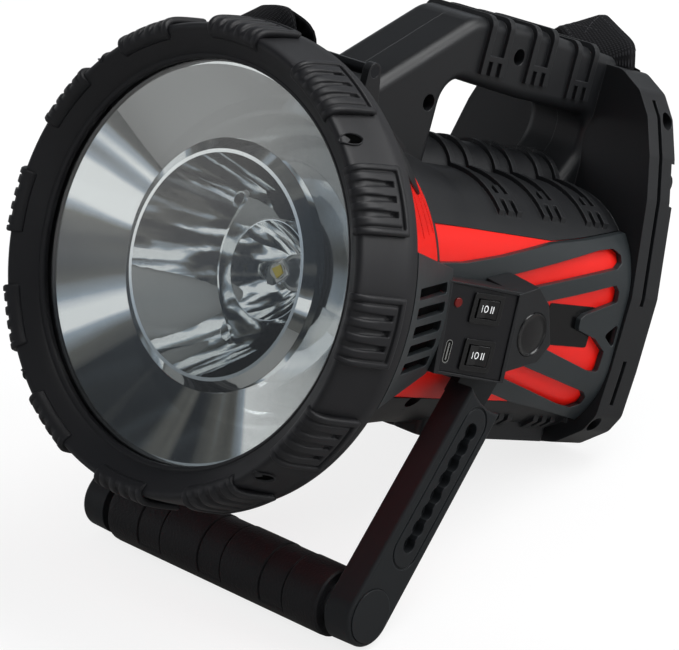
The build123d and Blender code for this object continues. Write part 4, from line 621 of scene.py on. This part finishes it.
seam_edge, seam_lift, seam_steps = 0.36, strap_thick * 1.02, 10


def tongue_seams(rows, low, high, pinch):
    """Box and cross seams on both faces of a tongue, between two shares of it."""
    walk = [low + (high - low) * n / seam_steps for n in range(seam_steps + 1)]
    sweep = [seam_edge * (2 * n / seam_steps - 1) for n in range(seam_steps + 1)]

    def spot(side, share, across_share):
        middle, across, normal = tongue(rows, share)
        return middle + across * across_share * strap_width * pinch + normal * side * seam_lift

    lines = []
    for side in (-1, 1):
        lines += [[spot(side, s, edge) for s in walk] for edge in (-seam_edge, seam_edge)]
        lines += [[spot(side, s, u) for u in sweep] for s in (low, high)]
        lines += [[spot(side, s, way * u) for s, u in zip(walk, sweep)] for way in (1, -1)]
    return lines


sewing = stitch_tree()
seams = tongue_seams(front_rows, 0.5, 0.92, front_pinch)
seams += tongue_seams(rear_rows, 0.45, 0.92, 1.0)
strap_stitches = grow("strap_stitches", seam_mesh("strap_seams", seams), sewing, {
    "Spacing": 2.6 * mm, "Length": 2.1 * mm, "Thickness": 0.55 * mm, "Thread": stitch_thread,
})
for piece in (shoulder_strap, front_tongue, rear_tongue, strap_stitches):
    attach(piece, "lamp")
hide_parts("shoulder_strap")
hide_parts("strap_ends")
print("stitches", len(strap_stitches.data.polygons) // 48)

# %% [markdown]
# Every solid that keeps its shape now gets the finish of the real piece, by name.

# %% Finishes for the solids
finishes = {
    housing_abs: (
        "right_body_shell", "left_body_shell", "rear_cover", "right_pod_housing",
        "left_pod_housing",
    ),
    panel_red: ("head_housing", "right_side_panel", "left_side_panel"),
    trim_abs: ("right_side_trim", "left_side_trim"),
    ring_rubber: ("bezel_ring", "lens_seal"),
    grip_rubber: ("grip_sleeve",),
    arm_nylon: ("right_arm", "left_arm", "arm_end_caps"),
    switch_face: ("switch_housings", "upper_rocker", "lower_rocker", "pivot_caps"),
    panel_face: ("switch_panel", "pivot_washers"),
    cradle_black: ("battery_cradle",),
    mirror_film: ("outer_reflector", "inner_reflector", "spot_reflector"),
    black_steel: (
        "cover_screws", "housing_screws", "strap_bars", "pivot_bolts", "pivot_nuts",
    ),
    drawn_steel: ("cross_tube",),
    sink_alloy: ("heat_sink",),
    port_nickel: ("charging_port",),
    lens_acrylic: ("lens",),
    board_white: ("lamp_board", "lamp_emitter"),
    indicator_red: ("charge_indicator",),
    cell_wrap: ("battery_cells",),
    board_green: ("control_board",),
}
for finish, names in finishes.items():
    for name in names:
        for place in nodes[name].material_slots:
            place.material = finish
print("finished", sum(len(names) for names in finishes.values()), "solids")

# %% [markdown]
# New pieces are made as bare faces first. One helper turns them to a piece with its
# finish, points its faces outward and lets it ride on its body.

# %% From bare faces to a piece
def finish_mesh(mesh, name, material, body, smooth=False):
    """Turns drawn faces to a piece that rides on a body."""
    data = drawn(mesh, name)
    for face in data.polygons:
        face.use_smooth = smooth
    data.materials.append(material)
    piece = put(name, data)
    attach(piece, body)
    return piece


def inside(value, low, high, soft=0.3):
    """1 between low and high and 0 outside, with soft edges."""
    return ease((value - low) / soft + 0.5) * ease((high - value) / soft + 0.5)


def marks(low, high, edges, coarse):
    """Even steps from low to high, with two extra steps at each edge."""
    count = round((high - low) / coarse)
    values = {round(low + (high - low) * n / count, 3) for n in range(count + 1)}
    for edge in edges:
        values |= {round(edge + shift, 3) for shift in (-0.16, 0.0, 0.16)}
    return sorted(v for v in values if low <= v <= high)


# %% [markdown]
# The ring round the lens is a rubber-coated moulding. Turned, it is one profile swept
# round the beam: a broad cone with a fine step by the lens, a rounded rim and a
# straight outside. The profile is drawn once and swept in 256 steps.

# %% Ring body
def round_beam(radius, depth, angle):
    """A point about the beam, at a radius and a depth in millimetres."""
    return on_lamp(radius * cos(angle), depth, radius * sin(angle))


def lathe(name, outline, steps, material, place=round_beam, body="lamp", closed=False,
          smooth=True):
    """Turns an outline of (radius, depth): a closed one, or one from axis to axis."""
    mesh = bmesh.new()
    rings = []
    for step in range(steps):
        angle = 2 * pi * step / steps
        rings.append([mesh.verts.new(place(r, y, angle)) for r, y in outline])
    span(mesh, rings, tube=closed)
    bmesh.ops.remove_doubles(mesh, verts=mesh.verts, dist=1e-7)
    return finish_mesh(mesh, name, material, body, smooth)


ring_outline = (
    (75.0, 2.5), (75.0, 0.35), (75.15, 0.08), (75.4, -0.1), (76.2, -0.75), (76.4, -0.75),
    (76.5, -0.5), (76.7, -0.5), (76.9, -0.85), (77.4, -1.55), (80.0, -3.7), (84.0, -7.0),
    (84.7, -7.5), (85.5, -7.75), (86.3, -7.6), (86.9, -7.0), (87.3, -6.1), (87.7, -4.0),
    (89.0, 5.0), (89.9, 14.3), (90.0, 14.6), (90.0, 20.2), (89.8, 20.7), (89.3, 21.0),
    (85.4, 21.0), (85.0, 20.6), (85.0, 6.6), (78.4, 6.5), (78.2, 6.4), (78.2, 2.5),
)
ring_body = lathe("ring_body", ring_outline, 256, ring_rubber, closed=True)
print("ring faces", len(ring_body.data.polygons))

# %% [markdown]
# The lamp stands forward in the spot reflector on an aluminium post. On it lie a white
# base, a yellow chip and a clear dome, so the mirrors have a real thing to repeat.

# %% Lamp under its dome
base_top, chip_top, dome_radius = 51.3, 51.0, 3.1
dome_middle = chip_top - 0.1
quarter = [pi / 2 * n / 14 for n in range(14)]
lamp_post = lathe("lamp_post", (
    (0.0, 60.7), (5.4, 60.7), (5.6, 60.4), (5.4, 60.1), (4.2, 59.6), (3.9, 58.8), (3.9, 53.0),
    (3.7, 52.7), (0.0, 52.7),
), 64, sink_alloy)
lamp_base = lathe("lamp_base", (
    (0.0, 52.8), (4.6, 52.8), (4.6, 51.6), (3.4, 51.45), (3.4, base_top), (0.0, base_top),
), 4, board_white, smooth=False)
lamp_chip = lathe("lamp_chip", (
    (0.0, 51.35), (2.0, 51.35), (2.0, chip_top), (0.0, chip_top),
), 4, phosphor, smooth=False)
lamp_dome = lathe("lamp_dome", (
    (0.0, 51.32), (dome_radius, 51.32),
    *((dome_radius * cos(a), dome_middle - dome_radius * sin(a)) for a in quarter),
    (0.0, dome_middle - dome_radius),
), 64, dome_silicone)
print("lamp pieces", [p.name for p in (lamp_post, lamp_base, lamp_chip, lamp_dome)])

# %% [markdown]
# The grip sleeve is a soft moulding in bands. Between its broad bands lie three narrow
# ones, 0.3 mm lower and edged by fine grooves, that stop at the underside where the
# broad ones meet.

# %% Grip sleeve
sleeve_half, sleeve_radius, sleeve_bore, sleeve_steps = 56.5, 13.74, 9.2, 160
sleeve_axis = Vector((0, -86.87, 13.74)) * mm
band_dip, edge_dip, edge_half, end_round = 0.3, 0.9, 0.4, 0.8
bands, band_from, band_to = ((-39.0, -27.0), (-6.0, 6.0), (27.0, 39.0)), -1.3, 1.85
band_edges = [edge for band in bands for edge in band]


def sleeve_dip(x, lean):
    """How far the sleeve is sunk at x along it and at an angle from up to the front."""
    top = inside(lean, band_from, band_to, 0.12)
    dips = [band_dip * inside(x, low, high, 0.5) for low, high in bands]
    dips += [edge_dip * inside(x, e - edge_half, e + edge_half) for e in band_edges]
    return max(dips) * top + end_round * (1 - ease((sleeve_half - abs(x)) / 0.9))


def on_sleeve(radius, x, angle):
    """A point of the sleeve. The outside has no fixed radius and takes its own here."""
    lean = angle - pi
    radius = radius or sleeve_radius - sleeve_dip(x, lean)
    return sleeve_axis + Vector((x, -radius * sin(lean), radius * cos(lean))) * mm


sleeve_edges = band_edges + [edge + d for edge in band_edges for d in (-0.5, 0.5)]
sleeve_edges += [side * (sleeve_half - d) for side in (-1, 1) for d in (0.2, 0.5)]
sleeve_outline = [(None, x) for x in marks(-sleeve_half, sleeve_half, sleeve_edges, 2.5)]
sleeve_outline += [(sleeve_bore, sleeve_half), (sleeve_bore, -sleeve_half)]
banded_sleeve = lathe(
    "banded_grip_sleeve", sleeve_outline, sleeve_steps, grip_rubber,
    on_sleeve, "stand", closed=True, smooth=False,
)
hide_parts("grip_sleeve")
print("sleeve faces", len(banded_sleeve.data.polygons))

# %% [markdown]
# Each cap over the hinge is a polished, slightly domed disc inside a raised bead, which
# is the brightest line on the pod.

# %% Faces of the pivot caps
hinge_y, cap_steps, cap_outline = 118.5, 96, (
    (0.0, 71.0), (8.6, 71.0), (8.6, 71.9), (8.5, 72.2), (8.2, 72.4), (7.9, 72.2), (7.75, 71.9),
    (6.0, 72.15), (4.0, 72.32), (2.0, 72.42), (0.0, 72.45),
)


def round_hinge(radius, out, angle):
    """A point about the hinge, at a radius and a place along it in millimetres."""
    return on_lamp(out, hinge_y + radius * cos(angle), radius * sin(angle))


for side, name in ((1, "right_cap_face"), (-1, "left_cap_face")):
    outline = [(radius, side * out) for radius, out in cap_outline]
    cap_face = lathe(name, outline, cap_steps, switch_face, round_hinge)
    print(name, len(cap_face.data.polygons), "faces")

# %% [markdown]
# Twelve tread pads wrap over the rim. One pad is a sheet of small faces over a curved
# strip, pressed in where the real pad is: three grooves that end in deeper pits, and a
# channel inside the raised border. Its rows and columns lie close together only where
# the height changes, so the edges stay crisp. Geometry Nodes then turn copies of it
# round the ring.

# %% One tread pad
pad_half, pad_border, pad_channel, pad_thick, pad_round = 13.2, 2.3, 1.5, 2.6, 92.2
rear_border, groove_start, pit_end, no_end = 3.2, 6.2, 9.6, 99.0
groove_middles, groove_half, groove_widening, pit_half = (-5.6, 0.0, 5.6), 1.05, 0.35, 1.1
front_bare, front_fade = 3.5, 6.0
field_dip, border_dip, channel_dip, groove_dip, pit_dip = 0.25, 0.9, 1.25, 1.35, 2.2
pad_line = (
    (82.0, -5.3), (82.6, -7.0), (84.0, -8.5), (85.8, -9.2), (87.6, -8.9), (89.3, -7.4),
    (90.4, -5.2), (91.0, -2.5), (91.4, 1.0), (91.8, 6.0), (92.1, 11.0), (92.2, 13.2),
    (92.0, 14.1), (91.3, 14.5),
)


def off_line(points, reach, rise):
    """The point at a distance along a flat line, raised off it, in millimetres."""
    total = 0.0
    for (r0, y0), (r1, y1) in zip(points[:-1], points[1:]):
        run = hypot(r1 - r0, y1 - y0)
        if total + run >= reach or (r1, y1) == points[-1]:
            share, lift = min((reach - total) / run, 1.0), rise / run
            r, y = r0 + (r1 - r0) * share, y0 + (y1 - y0) * share
            return r + (y1 - y0) * lift, y - (r1 - r0) * lift
        total += run


def ring_point(mesh, radius, depth, angle):
    """A new point of a mesh that is drawn on the lamp's own axes."""
    spot = Vector((radius * cos(angle), depth, radius * sin(angle))) * mm
    return mesh.verts.new(spot)


def smooth_line(points, rounds=3):
    """Rounds off a line by cutting its corners."""
    for _ in range(rounds):
        cut = [points[0]]
        for (r0, y0), (r1, y1) in zip(points[:-1], points[1:]):
            cut.append((0.75 * r0 + 0.25 * r1, 0.75 * y0 + 0.25 * y1))
            cut.append((0.25 * r0 + 0.75 * r1, 0.25 * y0 + 0.75 * y1))
        points = cut + [points[-1]]
    return points


pad_path = smooth_line(pad_line)
pad_reach = sum(dist(here, there) for here, there in zip(pad_path, pad_path[1:]))


def pad_dip(u, s):
    """How deep the pad is pressed in, at u across and s along, in millimetres."""
    inner, rear = pad_half - pad_border, pad_reach - s
    front = ease((s - front_bare) / front_fade)
    field = inside(u, -inner, inner)
    before_border = inside(rear, rear_border, no_end) * front
    dips = [
        field_dip * field * before_border,
        channel_dip * field * inside(rear, rear_border, rear_border + pad_channel),
    ]
    for edge in (-inner + 0.5, inner - 0.5):
        dips.append(border_dip * inside(u, edge - 0.5, edge + 0.5) * before_border)
    half = groove_half + groove_widening * ease(rear / pad_reach)
    before_channel = inside(rear, groove_start, no_end) * front
    at_pits = inside(rear, groove_start, pit_end)
    for middle in groove_middles:
        dips.append(groove_dip * inside(u, middle - half, middle + half, 0.4) * before_channel)
        dips.append(pit_dip * inside(u, middle - pit_half, middle + pit_half) * at_pits)
    return max(dips)


across_edges = [m + d for m in groove_middles for d in (-1.25, 1.25)]
across_edges += [side * (pad_half - d) for side in (-1, 1) for d in (0.4, pad_border, 3.3)]
along_edges = [
    pad_reach - d for d in (0.4, rear_border, rear_border + pad_channel, groove_start, pit_end)
]
pad_columns = marks(-pad_half, pad_half, across_edges, 1.1)
pad_rows = marks(0.0, pad_reach, along_edges, 0.8)
print("pad grid", len(pad_rows), "rows by", len(pad_columns), "columns")


def pad_mesh():
    """The pad as a closed mesh on the +X side of the ring, on the lamp's axes."""
    mesh = bmesh.new()
    sheets = []
    for sunk in (False, True):
        sheet = []
        for s in pad_rows:
            row = []
            for u in pad_columns:
                rim = 0.5 * (1 - ease((pad_half - abs(u)) / 0.6))
                down = pad_thick if sunk else pad_dip(u, s) + rim
                row.append(ring_point(mesh, *off_line(pad_path, s, -down), u / pad_round))
            sheet.append(row)
        sheets.append(sheet)
    slab(mesh, *sheets)
    return drawn(mesh, "tread_pad")


# %% [markdown]
# The tree that repeats the pad needs two sizes: how many there are, and how far round
# the first one sits. It makes one point for each, all in the ring's middle, and turns
# the copy at each point a step further about the beam.

# %% Tree that turns copies round the beam
def around_tree():
    """Geometry Nodes that turn copies of a mesh about the lamp's own y axis."""
    tree, given = new_group("copies_round_the_beam", {
        "Count": "Int", "First angle": "Float", "Finish": "Material",
    })
    places = add(tree, "GeometryNodeMeshLine", {
        "Count": given.outputs["Count"], "Offset": (0, 0, 0),
    })
    number = add(tree, "GeometryNodeInputIndex")
    step = add(tree, "ShaderNodeMath", {
        0: 2 * pi, 1: given.outputs["Count"],
    }, operation="DIVIDE")
    angle = add(tree, "ShaderNodeMath", {
        0: number, 1: step, 2: given.outputs["First angle"],
    }, operation="MULTIPLY_ADD")
    about = add(tree, "ShaderNodeCombineXYZ", {"Y": angle})
    turned = add(tree, "FunctionNodeEulerToRotation", {"Euler": about})
    return lay_copies(tree, given.outputs["Finish"], {
        "Points": places, "Instance": given.outputs["Geometry"], "Rotation": turned,
    })


turning = around_tree()


def seat_on_lamp(piece):
    """Takes a mesh made on the lamp's own axes to its place on the ring."""
    piece.data.transform(lamp_to_row)
    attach(piece, "lamp")


tread_pads = grow("tread_pads", pad_mesh(), turning, {
    "Count": 12, "First angle": 0.0, "Finish": ring_rubber,
})
seat_on_lamp(tread_pads)
print("pads", len(tread_pads.data.polygons), "faces")

# %% [markdown]
# Four small eyelets sit between the pads, a raised lens-shaped lip round a hollow whose
# near-black floor is painted shade.

# %% Eyelets
rim_path = smooth_line((
    (84.0, -7.0), (85.5, -7.8), (86.9, -7.0), (87.4, -5.5), (87.7, -4.0), (88.3, 0.0),
    (89.0, 5.0),
))
eyelet_middle, eyelet_long, eyelet_wide, eyelet_steps = 7.2, 6.0, 2.7, 32


def eyelet_mesh(profile):
    """One eyelet on the rim at the +X side, on the lamp's axes."""
    mesh = bmesh.new()
    rings = []
    for share, rise in profile:
        ring = []
        for n in range(eyelet_steps):
            angle = 2 * pi * n / eyelet_steps
            s = eyelet_middle + eyelet_long * share * cos(angle)
            u = eyelet_wide * share * sin(angle) * abs(sin(angle)) ** 0.3
            r, y = off_line(rim_path, s, rise)
            ring.append(ring_point(mesh, r, y, u / r))
        rings.append(ring)
    span(mesh, rings, loop=False)
    return drawn(mesh, "eyelet")


eyelet_lip = ((1.0, -0.5), (0.98, 0.4), (0.93, 0.9), (0.87, 0.9), (0.82, 0.4), (0.8, -0.5))
# The pit is a near-black disc at each eyelet's floor: painted shade for its dark hollow
eyelet_pit = ((0.84, -0.4), (0.84, 0.06), (0.05, 0.06))
for name, profile, finish in (
    ("ring_eyelets", eyelet_lip, ring_rubber), ("eyelet_pits_painted_shade", eyelet_pit, pit_painted_shade),
):
    seat_on_lamp(grow(name, eyelet_mesh(profile), turning, {
        "Count": 4, "First angle": pi / 4, "Finish": finish,
    }))
    print(name, "made")
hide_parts("bezel_ring")

# %% [markdown]
# Under the handle's front foot a black moulding covers the top of the red cone, from
# the ring back to the shells. It is an arc of the cone, a little larger and 1.2 mm thick.

# %% Shroud on top of the cone
cone_front, cone_rear = (87.6, 21.15), (59.0, 72.0)  # outer radius and depth


def cone_radius(y):
    """Outer radius of the head cone at a depth, in millimetres."""
    (r0, y0), (r1, y1) = cone_front, cone_rear
    return r0 + (r1 - r0) * (y - y0) / (y1 - y0)


def shroud(name, start, end, spread, steps):
    """An arc of the cone's top between two depths, so many degrees to each side."""
    mesh = bmesh.new()
    low, high, top, corner = 0.1, 0.9, 1.3, 0.5
    outline = [(cone_radius(y) + lift, y) for y, lift in (
        (start, low), (start, high), (start + corner, top),
        (end - corner, top), (end, high), (end, low),
    )]
    rings = []
    for step in range(steps + 1):
        angle = radians(90 + spread * (2 * step / steps - 1))
        rings.append([mesh.verts.new(round_beam(r, y, angle)) for r, y in outline])
    span(mesh, rings, loop=False)
    return finish_mesh(mesh, name, housing_abs, "lamp", True)


cone_shroud = shroud("cone_shroud", 21.4, 47.0, 52.0, 60)
print("shroud faces", len(cone_shroud.data.polygons))

# %% [markdown]
# The switch marks are printed in white: a bar, a ring and two bars on each rocker.
# They are a tenth of a millimetre of ink, so each is a thin raised mesh that sits on
# the face found under it and rides with its rocker.

# %% Marks on the rockers
panel_tilt = radians(9.0)
panel_out = lamp_way(cos(panel_tilt), -sin(panel_tilt), 0)
panel_across = lamp_way(sin(panel_tilt), cos(panel_tilt), 0)
panel_up = lamp_way(0, 0, 1)
panel_corner = on_lamp(72.0, 106.3, 0)
ink_lift, ink_depth = 0.06 * mm, 0.12 * mm
bar_places, half_height, half_stroke = (-2.75, 2.0, 2.95), 1.35, 0.17
ring_place, ring_steps, ring_halves = -0.35, 28, ((0.8, 1.05), (1.13, 1.38))


def tree_of(node):
    """A search tree over a solid's faces, for finding the surface under a point."""
    mesh = nodes[node].data
    return BVHTree.FromPolygons(
        [v.co.copy() for v in mesh.vertices], [tuple(p.vertices) for p in mesh.polygons]
    )


def ink_on(tree, spot):
    """The point of a surface straight under a spot, lifted a little."""
    hit = tree.ray_cast(spot + panel_out * 20 * mm, -panel_out)[0]
    return (hit if hit is not None else spot) + panel_out * ink_lift


def ink_line(mesh, tree, pairs, loop):
    """A closed raised strip along pairs of points laid on a surface."""
    rings = []
    for pair in pairs:
        inner, outer = (ink_on(tree, spot) for spot in pair)
        foot = panel_out * ink_depth
        rings.append([mesh.verts.new(p) for p in (inner, outer, outer - foot, inner - foot)])
    span(mesh, rings, loop)


def rocker_marks(name, node, across_mm, up_mm):
    """The marks I, O and II in a row across a rocker."""
    surface, mesh = tree_of(node), bmesh.new()
    middle = panel_corner + panel_across * across_mm * mm + panel_up * up_mm * mm

    def spot(u, v):
        return middle + panel_across * u * mm + panel_up * v * mm

    for place in bar_places:
        ink_line(mesh, surface, [
            (spot(place - half_stroke, v), spot(place + half_stroke, v))
            for v in (-half_height, 0, half_height)
        ], False)
    (u_in, v_in), (u_out, v_out) = ring_halves
    angles = [2 * pi * n / ring_steps for n in range(ring_steps)]
    ink_line(mesh, surface, [
        (spot(ring_place + u_in * cos(a), v_in * sin(a)),
         spot(ring_place + u_out * cos(a), v_out * sin(a))) for a in angles
    ], True)
    return finish_mesh(mesh, name, mark_white, node)


upper_marks = rocker_marks("upper_rocker_marks", "upper_rocker", -16.3, 7.6)
lower_marks = rocker_marks("lower_rocker_marks", "lower_rocker", -15.0, -10.4)
print("mark faces", len(upper_marks.data.polygons), len(lower_marks.data.polygons))

# %% [markdown]
# A bare rating plate sits on the red panel behind the pod. It is a film 0.3 mm thick
# with rounded corners that follows the barrel's curve, so its outline is a grid laid
# down on the panel from the side.

# %% Rating plate
plate_low, plate_high = (150.0, -7.4), (181.0, 9.3)
plate_columns, plate_rows, plate_corner = 16, 18, 0.8
plate_rise, plate_sink = 0.3 * mm, 0.1 * mm


def laid_plate(name):
    """A thin rounded plate laid from the right onto the side panel."""
    panel, out = tree_of("right_side_panel"), Vector((1, 0, 0))
    grid = []
    for i in range(plate_columns + 1):
        column = []
        for j in range(plate_rows + 1):
            shares = (2 * i / plate_columns - 1, 2 * j / plate_rows - 1)
            halves = [(high - low) / 2 for low, high in zip(plate_low, plate_high)]
            # Corners are drawn in towards an arc
            over = [
                max(0.0, abs(share) * half - half + plate_corner)
                for share, half in zip(shares, halves)
            ]
            pull = min(1.0, plate_corner / hypot(*over)) if any(over) else 1.0
            y, z = (
                low + half + copysign(abs(share) * half + past * (pull - 1), share)
                for low, half, share, past in zip(plate_low, halves, shares, over)
            )
            column.append(panel.ray_cast(on_lamp(0, y, z) + out * 0.2, -out)[0])
        grid.append(column)
    mesh = bmesh.new()
    slab(mesh, *(
        [[mesh.verts.new(spot + out * lift) for spot in column] for column in grid]
        for lift in (plate_rise, -plate_sink)
    ))
    return finish_mesh(mesh, name, label_film, "lamp")


rating_plate = laid_plate("rating_plate")
print("plate box", [round(v, 4) for v in rating_plate.bound_box[0]])

# %% [markdown]
# The stage is a pale sheet with the lamp's soft shadow on it. To the camera, and straight
# through the lens, it and the world are white. Mirrors see a dim floor and soft dark and
# light patches, or they would come out blank. Three soft lights light the lamp at a
# plain level, and one of them is kept out of mirrors and of the lens.

# %% Stage and lights
def kinds_of_ray(tree):
    """Whether a ray comes straight from the camera, and whether it is bent or mirrored."""
    rays = add(tree, "ShaderNodeLightPath")
    straight = add(tree, "ShaderNodeMath", {
        0: rays.outputs["Glossy Depth"], 1: 0.5,
    }, operation="LESS_THAN")
    through = add(tree, "ShaderNodeMath", {
        0: rays.outputs["Is Transmission Ray"], 1: straight,
    }, operation="MULTIPLY")
    seen = add(tree, "ShaderNodeMath", {
        0: rays.outputs["Is Camera Ray"], 1: through,
    }, operation="MAXIMUM")
    bent = add(tree, "ShaderNodeMath", {
        0: rays.outputs["Is Transmission Ray"], 1: rays.outputs["Is Glossy Ray"],
    }, operation="MAXIMUM")
    return seen, bent


def stage_sheet():
    """A pale floor that keeps the lamp's shadow."""
    material, tree = new_material("pale_studio_floor")
    seen, bent = kinds_of_ray(tree)
    caught = add(tree, "ShaderNodeMath", {0: seen, 1: bent}, operation="MAXIMUM")
    share = add(tree, "ShaderNodeMath", {0: caught, 1: 0.8}, operation="MULTIPLY")
    tint = add(tree, "ShaderNodeMix", {
        "Factor": seen, "A": linear("#62605d"), "B": white_light,
    }, data_type="RGBA")
    paper = add(tree, "ShaderNodeBsdfDiffuse", {"Color": linear("#f2f2f2")})
    glow = add(tree, "ShaderNodeEmission", {"Color": tint, "Strength": 1.0})
    both = add(tree, "ShaderNodeMixShader", {"Fac": share, 1: paper, 2: glow})
    add(tree, "ShaderNodeOutputMaterial", {"Surface": both})
    mesh = bmesh.new()
    bmesh.ops.create_grid(mesh, x_segments=2, y_segments=2, size=3.0)
    data = drawn(mesh, "floor")
    data.transform(Matrix.Translation((0, 0, -0.3 * mm)))
    data.materials.append(material)
    put("floor", data)


def soft_light(name, place, aim, size, power):
    """A square soft light that looks at a point."""
    data = bpy.data.lights.new(name, "AREA")
    data.size, data.energy = size, power
    light = put(name, data)
    light.location = place
    light.rotation_euler = (Vector(aim) - Vector(place)).to_track_quat("-Z", "Y").to_euler()
    return light


def studio_world():
    """White to the camera, plain to dull surfaces, soft patches to mirrors and glass."""
    world = bpy.data.worlds.new("studio")
    world.use_nodes = True
    sky = world.node_tree
    sky.nodes.clear()
    seen, bent = kinds_of_ray(sky)
    toward = add(sky, "ShaderNodeTexCoord")
    height = add(sky, "ShaderNodeSeparateXYZ", {"Vector": toward.outputs["Generated"]})
    clouds = add(sky, "ShaderNodeTexNoise", {
        "Vector": toward.outputs["Generated"], "Scale": 2.3, "Detail": 2.5, "Roughness": 0.45,
        "Distortion": 0.9,
    })
    low = add(sky, "ShaderNodeMapRange", {
        "Value": height.outputs["Z"], "From Min": 0.1, "From Max": 0.6,
        "To Min": 0.07, "To Max": -0.07,
    }, interpolation_type="SMOOTHSTEP")
    level = add(sky, "ShaderNodeMath", {0: clouds, 1: low})
    facing = add(sky, "ShaderNodeVectorMath", {
        0: toward.outputs["Generated"], 1: shade_way,
    }, operation="DOT_PRODUCT")
    shade = add(sky, "ShaderNodeMapRange", {
        "Value": facing, "From Min": 0.86, "From Max": 0.97, "To Min": 0.0, "To Max": 0.07,
    }, interpolation_type="SMOOTHSTEP")
    dimmed = add(sky, "ShaderNodeMath", {0: level, 1: shade}, operation="SUBTRACT")
    patches = add(sky, "ShaderNodeValToRGB", {"Fac": dimmed})
    ramp = patches.color_ramp.elements
    while len(ramp) < len(patch_tones):
        ramp.new(0.5)
    for mark, (spot, colour) in zip(ramp, patch_tones):
        mark.position, mark.color = spot, linear(colour)
    plain = add(sky, "ShaderNodeBackground", {"Color": linear("#e9ecef"), "Strength": 0.55})
    mirrored = add(sky, "ShaderNodeBackground", {"Color": patches})
    white = add(sky, "ShaderNodeBackground", {"Color": white_light, "Strength": 1.0})
    around = add(sky, "ShaderNodeMixShader", {"Fac": bent, 1: plain, 2: mirrored})
    mixed = add(sky, "ShaderNodeMixShader", {"Fac": seen, 1: around, 2: white})
    add(sky, "ShaderNodeOutputWorld", {"Surface": mixed})
    return world


white_light = (1, 1, 1, 1)
shade_way = (-0.62, -0.75, 0.21)  # towards the side that the mirrors show a little darker
patch_tones = ((0.41, "#1c2024"), (0.49, "#5f5e5a"), (0.56, "#a9b3be"), (0.6, "#ffffff"))
stage_sheet()
soft_light("overhead", (0.45, 0.6, 1.4), (0, 0, 0.1), 1.0, 18.0)
side_fill = soft_light("left_front", (-1.5, -0.75, 0.85), (0, 0, 0.1), 0.7, 12.0)
side_fill.visible_glossy = side_fill.visible_transmission = False
soft_light("right_back", (1.2, 0.9, 0.8), (0, 0.05, 0.1), 0.8, 12.0)
bpy.context.scene.world = studio_world()
bpy.context.scene.view_settings.view_transform = "Standard"
print("lights", len(bpy.data.lights))
